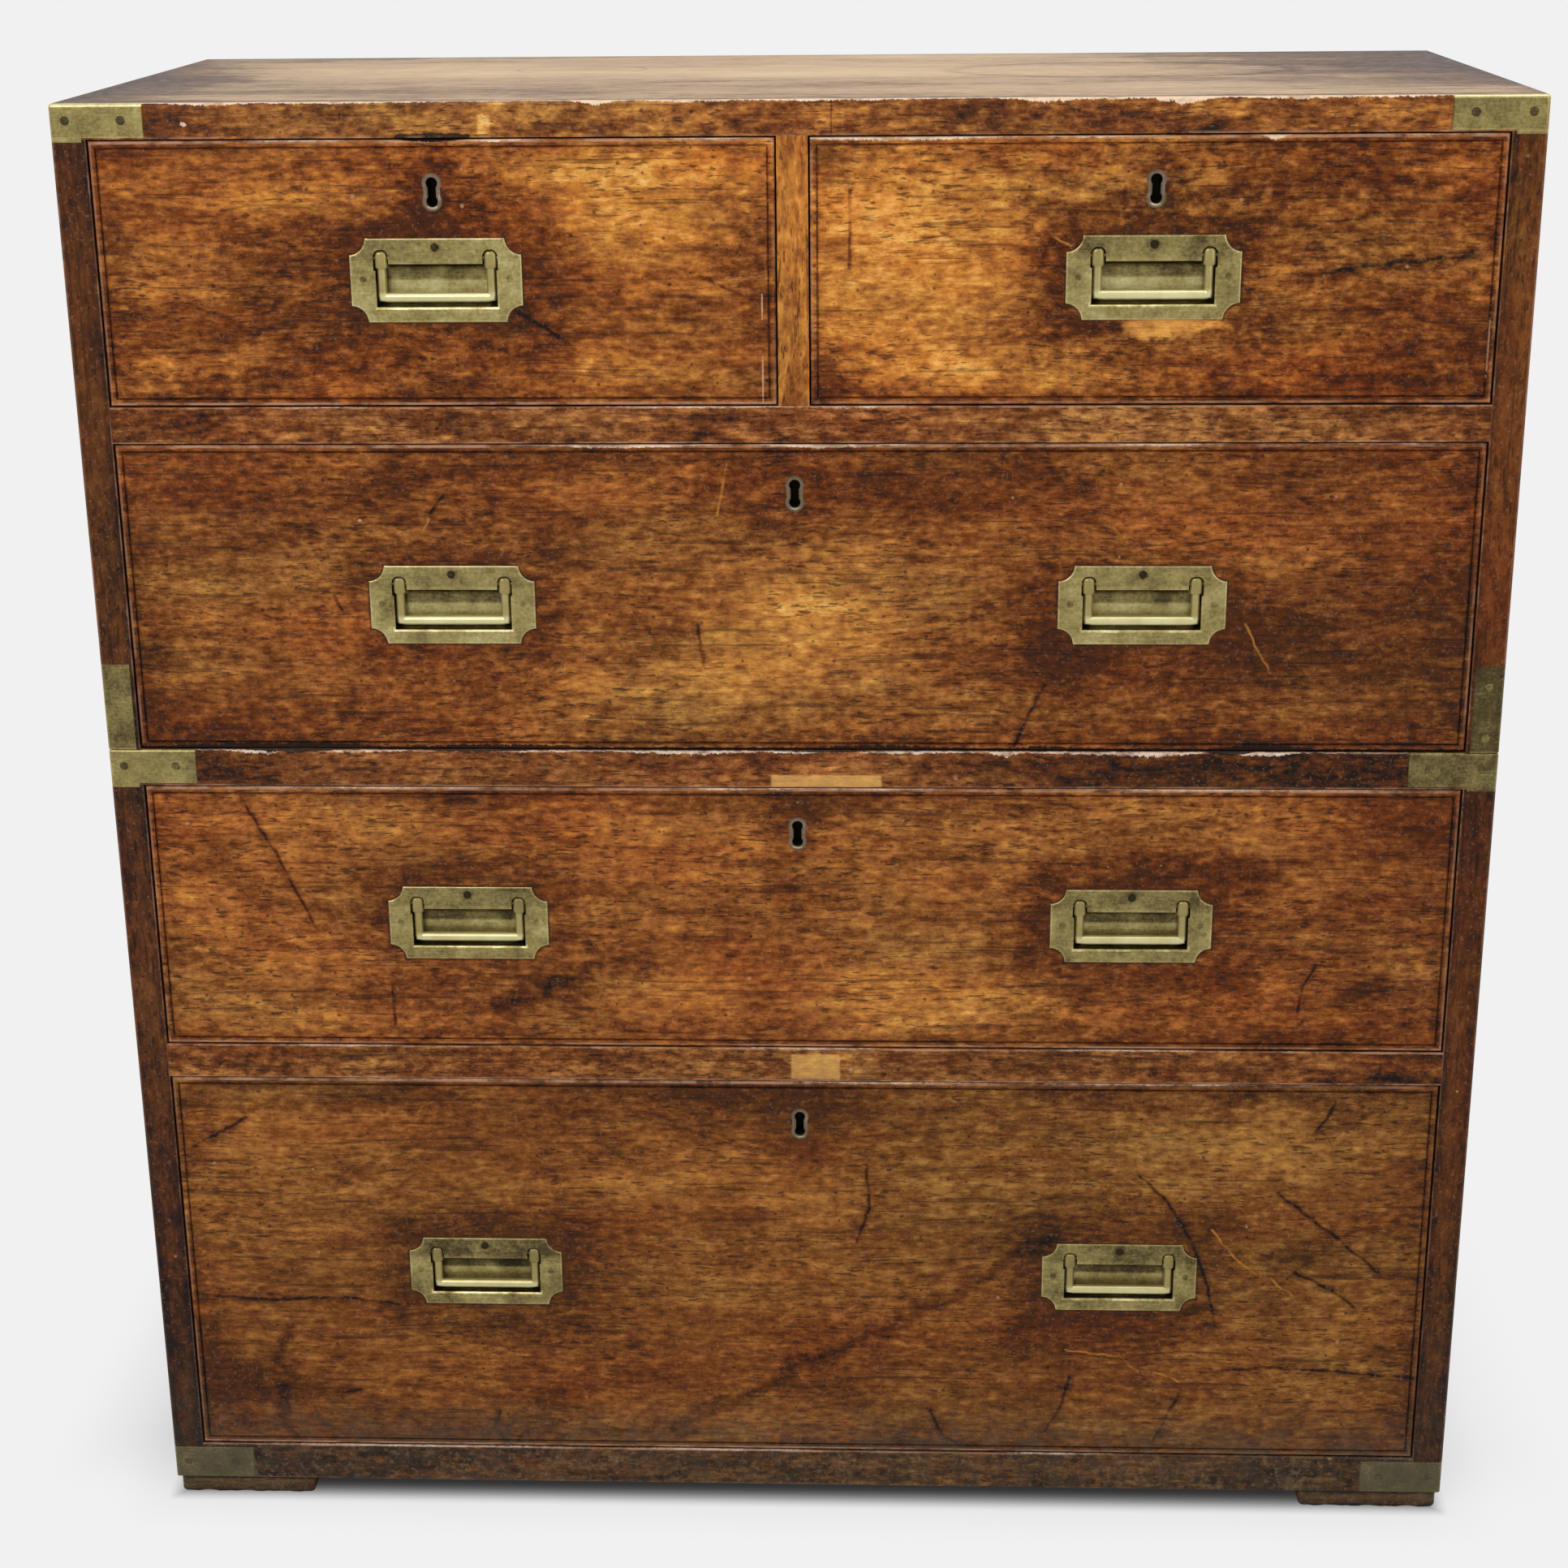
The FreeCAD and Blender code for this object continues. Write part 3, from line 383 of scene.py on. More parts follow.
def mahogany(name, grain, level, seed, marks, contrast=1.0, cast=(1.0, 1.0, 1.0), dull=0.0,
             gloss=None):
    """Old polished mahogany with its grain along one axis.

    A tone picks the colour: a level, plus broad and narrow streaks, fibres and mottling, which are
    noises stretched along the grain. Dark pores and duller patches lie over it. marks changes the
    tone, and gives masks and colours to lay over it. cast multiplies the colours, and dull makes
    the polish rougher.
    """
    wood = bpy.context.scene.chest_timber
    net = new_material(name)
    streaks = functools.partial(net.streaks, net.warp(net.place, 5.0, 2.0, 0.5, 0.010), grain,
                                (seed, seed * 1.7, seed * 0.6))
    broad = streaks(3.2, 12.0, 3.0, 0.6) - 0.5
    figure = streaks(14.0, 80.0, 3.0, 0.65) - 0.5
    fibre = streaks(95.0, 255.0, 3.0, 0.60) - 0.5
    fleck = streaks(48.0, 115.0, 3.0, 0.68) - 0.5
    thread = streaks(34.0, 560.0, 1.0, 0.6) - 0.5
    mottle = streaks(124.0, 165.0, 4.0, 0.64) - 0.5
    cloud = streaks(11.0, 17.0, 4.0, 0.65)
    craze = abs(streaks(115.0, 200.0, 2.0) - 0.5).fall(0.0, 0.035)
    pores = streaks(80.0, 420.0, 2.0, 0.6).rise(0.58, 0.65)
    lines = streaks(11.0, 290.0, 2.0, 0.6).rise(0.59, 0.68, 0.0, 0.75)
    crack = pores * (net.noise(net.place, 16.0, 3.0) + broad).rise(0.36, 0.58, 0.35)
    crack = crack.most(lines).most(nicks(net, 62.0, 0.30, 0.0016))
    tone = level + 0.04 + contrast * (
        broad * 0.62 + figure * 0.64 + fibre * 0.80 + fleck * 0.54 + thread * 0.10
        + mottle * 0.70 - craze * 0.07 - cloud.rise(0.50, 0.72, 0.0, 0.20))
    tone, overlays = marks(net, wood, tone, mottle, broad)
    colour = net.ramp(tone * 0.8, ((0.0, wood.black), (0.12, wood.deep), (0.24, wood.red),
                                   (0.376, wood.brown), (0.528, wood.amber),
                                   (0.688, wood.gold), (0.82, wood.straw), (1.0, wood.light)))
    hue = streaks(4.0, 15.0, 3.0, 0.6)
    colour = colour * ((hue - 0.5) * (0.20, -0.70, -1.15) + cast)
    # pale flecks over the grain: a painted sheen, the glints of the polish, with a few pale nicks
    sheen = net.noise(net.place, 430.0, 2.0, 0.6).rise(0.56, 0.74, 0.0, 0.17).most(
        nicks(net, 27.0, 0.06, 0.0020) * 0.5)
    for mask, over in [(sheen, wood.bare_and_highlight), (crack * 0.66, wood.black), *overlays]:
        colour = net.tint(mask, colour, over)
    rough = wood.sheen + dull + mottle * 0.5 + crack * 0.12
    height = fibre * 0.5 + mottle * 0.7 - crack * 0.6 - craze * 0.25
    return net.finish(colour, rough, height, 0.00045,
                      Specular_IOR_Level=wood.gloss if gloss is None else gloss)


def dry(name, grain, level, seed):
    """Unpolished lining wood: pale, grey-brown and streaked along one axis."""
    wood = bpy.context.scene.chest_timber
    net = new_material(name)
    streaks = functools.partial(net.streaks, net.warp(net.place, 4.0, 2.0, 0.5, 0.02), grain,
                                (seed, seed * 1.3, seed * 0.7))
    broad = streaks(2.5, 16.0, 3.0) - 0.5
    rings = streaks(4.0, 140.0, 3.0, 0.6) - 0.5
    fibre = streaks(40.0, 900.0, 2.0) - 0.5
    speck = streaks(60.0, 300.0, 3.0, 0.7) - 0.5
    grime = net.noise(net.place, 9.0, 5.0, 0.6)
    tone = level + broad * 0.8 + rings * 0.9 + fibre * 0.9 + speck * 0.5
    light = Vector(wood.lining)
    colour = net.ramp(tone, ((0.0, light * 0.22), (0.35, light * 0.55), (0.6, light),
                             (1.0, light * 1.5)))
    colour = net.tint(grime.rise(0.5, 0.75, 0.0, 0.55), colour, wood.deep)
    return net.finish(colour, 0.72 + rings * 0.2, rings * 0.4 + fibre, 0.0004,
                      Specular_IOR_Level=0.3)


# Wear -------------------------------------------------------------------------------------------

def ahead(net, limit=FRONT + 1.5 * MM):
    """1 in front of a limit, by default the skin of the cases, and 0 from a millimetre behind it."""
    return net.where[1].fall(limit, limit + MM)


def nicks(net, scale, share, size):
    """Small round marks in the middles of some of the cells of a flat pattern."""
    across, depth, height = net.where
    flat = net.xyz(across + depth, height + depth * 0.7, 0.0)
    cells = net.node("ShaderNodeTexVoronoi", {"voronoi_dimensions": "2D"},
                     {"Vector": flat, "Scale": scale})
    distance = Wire(net, cells.outputs["Distance"])
    kept, spread, _ = Wire(net, cells.outputs["Color"]).parts()
    near = distance / (spread * 0.8 + 0.4)
    return near.fall(size * scale * 0.4, size * scale) * kept.rise(1.0 - share, 1.01 - share)


def dusty(net, low, high, most, floor=0.0):
    """Grey dirt, thicker towards the floor and broken into patches."""
    patches = net.noise(net.place, 70.0, 5.0, 0.75).rise(0.36, 0.62, 0.25, 1.0)
    return patches * net.where[2].rise(low, high, most, floor)


def grit(net, most):
    """Fine pale specks of dust caught in rough wood, thicker in some places."""
    specks = net.noise(net.place, 230.0, 3.0, 0.75)
    crowd = net.noise(net.place, 34.0, 2.0) - 0.5
    return (specks + crowd * 0.25).rise(0.54, 0.66, 0.0, most)


def splinters(net, edge, spots, base=0.0, jag=1.2, down=True):
    """Ragged loss along a level front arris, in millimetres, whose depth changes along it.

    It reaches base, plus what each spot adds: its place along the arris, half length and depth.
    """
    height = net.where[2]
    ragged = net.noise(net.place * (1.0, 0.0, 0.25), 170.0, 5.0, 0.85) - 0.5
    along = net.place * (1.0, 0.0, 0.0)
    reach = base * MM
    for x, half, deep in spots:
        reach = net.spot(along, (x * MM, 0.0, 0.0), (half * MM, 1.0, 1.0), deep * MM) + reach
    reach = reach * (ragged * 3.2 + 1.0) + ragged * (jag * MM)
    past = edge - height if down else height - edge
    return (reach - past).rise(0.0, 0.0005) * ahead(net)


def edge_wear_and_highlight(net, lines, reach=0.0016):
    """Wear along level front arrises, with the highlight their rounding catches painted in: a thin line
    of uneven strength at each one's height.

    Each line has its height, and the least and the most of its strength.
    """
    _, depth, level = net.where
    breaks = net.noise(net.place, 30.0, 4.0, 0.75)
    wave = (breaks - 0.5) * 0.0025
    return highest([
        abs(depth - FRONT).most(abs(level + wave - z)).fall(reach * 0.3, reach)
        * breaks.rise(0.42, 0.60, least, most) for z, least, most in lines])


def chips(net, marks):
    """Splinters missing from the front: each has its middle, half length and half height."""
    flat = net.place * ONTO_FRONT
    ragged = net.noise(flat * (0.6, 1.0, 1.4), 210.0, 4.0, 0.85)
    whole = highest([net.flat_spot(flat, *mark, 1.0) for mark in marks])
    mask = (whole + (ragged - 0.5) * 2.2).rise(0.38, 0.52) * whole.rise(0.02, 0.2)
    return mask * ahead(net)


# Drawer fronts ----------------------------------------------------------------------------------

# Marks are in millimetres from the chest's middle and the floor. A spot is its middle, its reach
# and how much lighter or darker it is. Scratches, dark and pale ones, are lines of points.
SPOTS = {
    "drawer_1": ((-110, 1000, 90, 70, .27), (-110, 885, 130, 35, .22), (-370, 1025, 120, 50, .14),
                 (-325, 940, 130, 70, -.20), (-230, 975, 110, 80, -.16), (-425, 925, 120, 40, -.12),
                 (-325, 855, 130, 25, -.13), (-230, 890, 85, 70, -.11), (-30, 960, 40, 50, -.12)),
    "drawer_2": ((70, 960, 130, 80, .38), (115, 885, 140, 30, .36), (115, 1035, 120, 50, .16),
                 (380, 985, 140, 80, -.24), (430, 900, 130, 70, -.15), (190, 960, 80, 80, -.20),
                 (260, 925, 120, 70, -.14), (320, 1020, 140, 40, -.12), (455, 950, 50, 40, -.10)),
    "drawer_3": ((10, 715, 130, 70, .36), (-375, 690, 120, 70, .18), (-60, 670, 140, 50, .12),
                 (-180, 620, 110, 25, .12), (440, 730, 130, 80, -.20), (-280, 800, 140, 40, -.20),
                 (155, 680, 120, 70, -.12), (105, 800, 130, 40, -.13), (-420, 810, 120, 40, -.12),
                 (440, 655, 80, 70, -.12), (-445, 630, 80, 40, -.14)),
    "drawer_4": ((-110, 420, 140, 70, .25), (85, 420, 130, 70, .17), (-300, 395, 130, 40, .16),
                 (200, 410, 120, 30, .14), (-160, 575, 120, 25, .12), (420, 480, 120, 80, -.18),
                 (-205, 540, 120, 45, -.17), (-15, 515, 80, 45, -.15), (440, 395, 120, 70, -.12),
                 (225, 505, 120, 70, -.15), (440, 565, 80, 70, -.13), (-470, 435, 70, 80, -.11)),
    "drawer_5": ((-60, 275, 140, 70, .16), (-375, 325, 130, 70, .17), (320, 310, 140, 70, .16),
                 (-250, 350, 120, 25, .10), (-470, 95, 120, 80, -.18), (200, 155, 140, 80, -.15),
                 (465, 110, 80, 80, -.14), (-160, 205, 80, 70, -.13), (100, 50, 240, 20, -.12)),
}
DARK = {
    "drawer_1": (((-185, 928), (-153, 908)), ((-63, 953), (-39, 941))),
    "drawer_2": (((340, 950), (390, 958), (450, 963)), ((39, 1008), (38, 957))),
    "drawer_3": (((175, 667), (164, 646), (154, 622)), ((-244, 802), (-253, 790)),
                 ((-69, 710), (-65, 681)), ((-324, 731), (-320, 721))),
    "drawer_4": (((-402, 583), (-379, 539), (-366, 509), (-354, 482)),
                 ((375, 456), (367, 440), (364, 420)), ((-300, 436), (-299, 405))),
    "drawer_5": (((254, 286), (276, 264), (294, 233), (307, 198), (315, 160)),
                 ((357, 273), (398, 240), (437, 206)), ((373, 207), (401, 192), (419, 178)),
                 ((206, 114), (199, 88), (188, 66)), ((291, 103), (272, 60)),
                 ((99, 84), (108, 63), (128, 49)), ((-459, 304), (-437, 316), (-417, 328)),
                 ((396, 349), (391, 335), (382, 323)), ((306, 120), (362, 125), (473, 117)),
                 ((50, 297), (52, 257), (42, 229)), ((-465, 178), (-411, 174), (-354, 177), (-311, 172)),
                 ((-362, 94), (-344, 96)), ((-236, 78), (-239, 63), (-233, 52))),
}
PALE = {
    "drawer_2": (((175, 977), (185, 971)),),
    "drawer_3": (((-47, 824), (-54, 788)), ((-255, 786), (-260, 777)),
                 ((313, 711), (320, 696), (332, 676)), ((220, 780), (224, 774))),
    "drawer_4": (((16, 460), (20, 447)),),
    "drawer_5": (((309, 242), (327, 219), (344, 204)), ((355, 201), (372, 187)),
                 ((202, 138), (244, 133), (258, 120)), ((269, 120), (289, 112))),
}
# a chip is its middle, its half length and its half height
CHIPS = {
    "drawer_1": ((-21, 880, 1.0, 40), (-21, 930, 1.1, 18)),
    "drawer_2": ((466, 905, 1.0, 40),),
    "drawer_3": ((-303, 785, 2.8, 2.0),),
}
# wear of each top arris: its place, half length and depth; then the strength of the lower bead's pale
# line, wear with a painted highlight
WORN_TOP = {
    "drawer_1": ((-330, 60, 0.8), (-200, 40, 1.4), (-60, 50, 0.9)),
    "drawer_2": ((70, 110, 2.2), (200, 60, 1.2), (318, 12, 3.0), (420, 60, 0.6)),
    "drawer_3": ((-120, 90, 2.0), (26, 70, 2.4), (250, 60, 1.2), (400, 50, 0.6)),
    "drawer_4": ((-300, 150, 0.8), (-40, 60, 1.2), (60, 70, 0.9), (300, 160, 0.8)),
    "drawer_5": ((-250, 120, 0.4), (60, 90, 1.0), (260, 120, 0.8)),
}
BEAD_WEAR_AND_HIGHLIGHT = {"drawer_1": 0.75, "drawer_2": 0.45, "drawer_3": 0.10, "drawer_4": 0.55, "drawer_5": 0.90}
# the black gap along the foot of drawer_3, painted shade where it is chipped open, in the same form as
# the wear, and broad soft strokes
GAP = ((-395, 70, 2.6), (-340, 60, 2.2), (-210, 80, 1.8), (60, 70, 1.8), (180, 40, 1.0), (330, 45, 3.4))
SOFT = {
    "drawer_2": (((340, 950), (390, 958), (450, 963)),),
    "drawer_4": (((-221, 421), (-169, 442), (-109, 457)),),
    "drawer_5": (((192, 234), (119, 189), (33, 139), (-100, 64)),
                 ((-402, 150), (-403, 104), (-402, 50))),
}


def plate_gap(net, drawer, across, height):
    """Distance outside the outline of a drawer's handle plates, whose corners are hollow."""
    low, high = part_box(drawer + "_handle_plates")
    middle, level = (low.x + high.x) / 2, (low.z + high.z) / 2
    offset = (high.x - low.x) / 2 - PLATE_HALF.x
    way = abs(across - middle)
    side = (abs(way - offset) if offset > 0.01 else way) - PLATE_HALF.x
    over = abs(height - level) - PLATE_HALF.z
    corner = net.xyz(side, over, 0.0).size()
    return side.most(over).most(NOTCH * MM - corner)


def front_marks(drawer):
    """Marks of one drawer front: edges, bead, darkening round its brasses that is stain with painted
    shadow, spots and scratches.
    """
    low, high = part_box(drawer + "_front")
    key_x, key_z = keyhole(drawer)

    def marks(net, wood, tone, mottle, broad):
        across, depth, height = net.where
        flat = net.place * ONTO_FRONT
        front = ahead(net, FACE + 2 * MM)
        soft = net.warp(flat, 26.0, 4.0, 0.65, (0.07, 0.0, 0.045))
        thin = net.warp(flat, 90.0, 2.0, 0.5, (0.004, 0.0, 0.004))
        tone = net.blots(tone, soft, SPOTS[drawer])
        edge = ((high.x - low.x) / 2 - abs(across - (high.x + low.x) / 2)).least(
            (high.z - low.z) / 2 - abs(height - (high.z + low.z) / 2))
        tone = tone - (edge + mottle * 0.02 + broad * 0.05).fall(0.0, 0.032, 0.13)
        # darker round the handles, stain with painted shadow, and round the keyhole; a thin line of dirt
        # and painted shadow lines the plates
        outside = plate_gap(net, drawer, across, height)
        tone = tone - (outside + mottle * 0.03 + broad * 0.08).fall(-0.006, 0.042, 0.20)
        tone = tone - outside.fall(0.0003, 0.0016, 0.20)
        keyed = net.stretch(flat, (1.0, 0.0, 0.62), (-key_x, 0.0, -key_z * 0.62)).size()
        tone = tone - (keyed + mottle * 0.02 + broad * 0.04).fall(0.007, 0.034, 0.15)
        tone = tone.most(0.20 + mottle * 0.5)
        # scratches, which skip as they go
        broken = net.noise(flat, 70.0, 3.0).rise(0.34, 0.56, 0.30, 1.0)
        if drawer in SOFT:
            tone = tone - net.strokes(soft, SOFT[drawer]).fall(0.001, 0.011, 0.20)
        reach = net.strokes(thin, DARK[drawer])
        tone = tone - (reach.fall(0.0003, 0.0019, 0.34) + reach.fall(0.001, 0.006, 0.09)
                       ) * front * broken
        # the bead: painted shade in the quirk beside it, and a pale line along its outer arris, wear
        # with a painted highlight, lifted along the top
        tone = tone - edge.band(0.0036, 0.0058, 0.0008) * 0.13 * front
        breaks = net.noise(net.place, 22.0, 4.0, 0.75)
        # how strong the pale line is: wear, with a painted highlight lifted along the top
        rubbed = (height - high.z).rise(-0.004, -0.002, 0.0, 0.40) + (height - low.z).fall(
            0.002, 0.004, BEAD_WEAR_AND_HIGHLIGHT[drawer] - 0.30) + 0.30
        rub_and_highlight = (edge + (breaks - 0.5) * 0.002).fall(0.0014, 0.0028) \
            * breaks.rise(0.40, 0.58, 0.12, 1.0) * rubbed * front
        if drawer == "drawer_5":
            rub_and_highlight = rub_and_highlight * across.rise(-0.05, 0.4, 1.0, 0.35)
        overlays = [(rub_and_highlight, wood.bare_and_highlight), (splinters(net, high.z, WORN_TOP[drawer], 0.2, 0.9)
                                       * breaks.rise(0.36, 0.58, 0.30, 1.0), paint(236, 208, 178))]
        if drawer in CHIPS:
            overlays.append((chips(net, CHIPS[drawer]) * 0.85, wood.bare_and_highlight))
        # painted shade: black where the gap at the foot of drawer_3 is chipped open
        if drawer == "drawer_3":
            overlays.append((splinters(net, low.z, GAP, 1.6, 1.2, False) * 0.95, wood.black))
        # painted shade: black in a chipped gap at the top of drawer_1
        if drawer == "drawer_1":
            overlays.append((splinters(net, high.z, ((-240, 30, 2.0),), 0.0, 0.2),
                             wood.black))
        if drawer == "drawer_5":
            overlays.append((dusty(net, 0.05, 0.10, 0.45), wood.dust))
        if drawer in PALE:
            reach = net.strokes(thin, PALE[drawer])
            overlays.append((reach.fall(0.0002, 0.0013, 0.6) * front * broken, wood.gold))
        if drawer == "drawer_2":
            # a pale crescent worn below the plate
            moon = net.flat_spot(soft, 254, 917, 52, 17, 1.0)
            tone = tone + moon.rise(0.05, 0.5, 0.0, 0.40)
            overlays.append(((moon * 1.2 + mottle * 1.6 + broad).rise(0.0, 1.2, 0.0, 0.6) * front,
                             wood.straw))
        # dry wood behind, and black painted shade in the hole for the lock
        hollow = depth.rise(FACE + 0.003, FACE + 0.005) * keyed.fall(0.009, 0.012)
        rear = depth.rise(FACE + 0.0190, FACE + 0.0196)
        return tone, overlays + [(rear * 0.55, wood.lining), (hollow * 0.97, wood.black)]

    return marks


# Cases ------------------------------------------------------------------------------------------

def foot_marks(net, wood, tone, mottle, broad):
    """Feet: grey with dirt, with a lighter band high up that is a painted highlight; painted shadow
    darkens them at the floor, and they are darkest under the case.
    """
    height = net.where[2]
    # a painted highlight band high on the foot, painted shadow at the floor, and darker under the case
    tone = tone + height.rise(0.006, 0.010, -0.05, 0.12) - height.fall(0.0008, 0.0034, 0.60) \
        - height.rise(0.0122, 0.0150, 0.0, 0.60)
    shown = height.rise(0.0020, 0.0050)
    return tone, [(dusty(net, 0.0, 0.02, 0.40, 0.40) * shown, wood.dust),
                  (grit(net, 0.35) * shown, paint(122, 104, 80))]


def strips(net, patches):
    """Let-in strips of paler wood: each has its left, right, bottom, top and lightness."""
    across, _, height = net.where
    masks = [across.band(left * MM, right * MM, 0.0012) * height.band(bottom * MM, top * MM, 0.0009)
             * change for left, right, bottom, top, change in patches]
    return highest(masks) * ahead(net)


# light and dark places on the top, spots of its front edge, and wear of that edge's upper arris
TOP_LIGHTS = (
    (-510, -60, 150, 340, -.56), (-280, 60, 200, 150, .24), (0, 40, 300, 110, .36),
    (500, 100, 330, 400, -.52), (-90, -190, 400, 40, -.10), (300, -120, 200, 60, .12),
    (60, 200, 300, 50, .14), (-330, -130, 160, 60, -.12))
TOP_EDGE = (
    (-435, 1056, 60, 30, -.14), (-350, 1056, 50, 16, .26), (-60, 1056, 70, 16, .14),
    (-180, 1049, 50, 8, -.14), (50, 1052, 60, 14, .16), (130, 1056, 30, 14, -.16),
    (215, 1056, 60, 20, -.10), (290, 1056, 60, 20, .24), (380, 1056, 50, 20, .12),
    (-260, 1058, 46, 7, .08))
TOP_ARRIS = (
    (-390, 40, 1.2), (-300, 70, 0.8), (-129, 20, 2.2), (-70, 34, 1.2), (20, 90, 0.8),
    (167, 34, 2.2), (258, 30, 3.3), (215, 60, 1.0), (330, 60, 1.3), (400, 60, 0.7))


def top_surface(net, wood, tone, mottle, broad):
    """Colour of the top: pale and hazy, dulled polish with a painted reflection of glare, with long
    streaks, light and dark places and rings of cups.
    """
    across, depth, _ = net.where
    flat = net.place * ONTO_FLOOR
    soft = net.warp(flat, 12.0, 4.0, 0.65, (0.16, 0.07, 0.0))
    light = 0.10 + broad * 0.45 + net.noise(net.place * (0.12, 1.0, 1.0), 130.0, 5.0, 0.72) * 0.56 \
        + net.noise(net.place * (0.5, 1.0, 1.0), 40.0, 4.0, 0.65) * 0.24
    for x, y, wide, deep, change in TOP_LIGHTS:
        light = light + net.spot(soft, (x * MM, y * MM, 0.0), (wide * MM, deep * MM, 1.0), change)
    ring = net.stretch(flat, (0.62, 1.0, 0.0), (-0.235 * 0.62, -0.03, 0.0)).size() + mottle * 0.01
    light = light - ring.band(0.074, 0.082, 0.004) * 0.17 + ring.rise(0.05, 0.08, 0.08, 0.0)
    small = net.stretch(flat, ONTO_FLOOR, (0.17, -0.07, 0.0)).size() + mottle * 0.006
    light = light - small.band(0.046, 0.050, 0.0015) * 0.16
    edge = (HALF_WIDE - abs(across)).least(HALF_DEEP - abs(depth))
    light = light - (edge + mottle * 0.03).fall(0.0, 0.03, 0.14)
    light = light - (depth - FRONT + mottle * 0.02).rise(0.002, 0.014, 0.20, 0.0)
    # the pale hazy colours are dulled polish and a painted reflection of glare
    return net.ramp((light + (tone - 0.47) * 0.34) * 0.8, (
        (0.0, paint(62, 38, 22)), (0.20, paint(114, 80, 50)), (0.40, wood.bloom_and_glare),
        (0.64, paint(224, 190, 147)), (0.90, paint(243, 216, 178))))


def top_marks(net, wood, tone, mottle, broad):
    """Top board: hazy and ring-marked above, partly a painted reflection, golden and chipped on its
    front edge, with a painted highlight along its arrises.
    """
    across, depth, height = net.where
    face = ahead(net)
    above = height.rise(TOP - 1.5 * MM, TOP - 0.2 * MM)
    surface = top_surface(net, wood, tone, mottle, broad)
    dark = net.stroke(net.place * ONTO_FRONT + mottle * (0.003, 0.0, 0.004),
                      ((-262, 1044), (-232, 1044.6), (-216, 1044))).fall(0.0012, 0.0026, 0.95)
    tone = net.blots(tone + face * 0.05, net.place * ONTO_FRONT, TOP_EDGE, face)
    tone = tone + strips(net, ((-208.5, -200, 1044, 1058, .28),))
    tone = tone - abs(across - 0.026).fall(0.0002, 0.0010, 0.22) * face
    lower = edge_wear_and_highlight(net, ((TOP_LOW.z, 0.0, 0.35),), 0.0024)
    strength = net.noise(net.place, 60.0, 4.0, 0.75).rise(0.34, 0.56, 0.55, 1.0)
    arris = splinters(net, TOP, TOP_ARRIS, 0.7, 1.6) * strength
    # a thin pale line on top of the front arris: a painted highlight, with wear
    rim = (height - TOP + 0.0006).rise(0.0, 0.0004) * (depth - FRONT).fall(0.0012, 0.0030)
    arris = arris.most(rim * strength).most(chips(net, ((-405, 1053, 4, 2.6),)) * 0.8)
    return tone, [(above * 0.96, surface), (dark * face, wood.black), (lower, wood.bare_and_highlight),
                  (arris, paint(236, 208, 176))]


def side_marks(name):
    """Sides and stiles: dark at their ends, pale along the outer arris, wear with a painted highlight.
    """
    foot, head = (corner.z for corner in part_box(name))

    def marks(net, wood, tone, mottle, broad):
        across, depth, height = net.where
        wide = abs(across)
        ends = (height - foot).least(head - height)
        tone = tone - (ends + mottle * 0.04).fall(0.0, 0.11, 0.08)
        breaks = net.noise(net.place, 30.0, 4.0, 0.75)
        # pale lines along the outer and inner arrises: wear with a painted highlight
        corner = abs(wide - HALF_WIDE).most(abs(abs(depth) - HALF_DEEP))
        rub_and_highlight = (corner + (breaks - 0.5) * 0.003).fall(0.0010, 0.0026) \
            * breaks.rise(0.46, 0.64, 0.12, 0.55)
        inner = abs(wide - INNER).most(abs(depth - FRONT))
        rub_and_highlight = rub_and_highlight.most(inner.fall(0.0004, 0.0012) * breaks.rise(0.44, 0.6, 0.1, 0.4))
        front = ahead(net)
        tone = tone - (wide - INNER).fall(0.0, 0.007, 0.12) * front
        tone = tone - (HALF_WIDE - wide + mottle * 0.01).fall(0.0, 0.010, 0.14) \
            * height.rise(0.1, 0.9, 1.0, 0.2) * front
        tone = tone - height.fall(0.05, 0.42, 0.15) * front
        side = wide.rise(HALF_WIDE - 1.5 * MM, HALF_WIDE - 0.5 * MM)
        worn = net.noise(net.place * (1.0, 1.0, 0.35), 7.0, 3.0).rise(0.42, 0.7, -0.04, 0.16)
        dirt = dusty(net, 0.04, 0.20, 0.20)
        return tone + worn * side + side * 0.06, [
            (rub_and_highlight * height.rise(0.1, 0.8, 0.45, 1.0), wood.bare_and_highlight), (dirt, wood.dust)]

    return marks


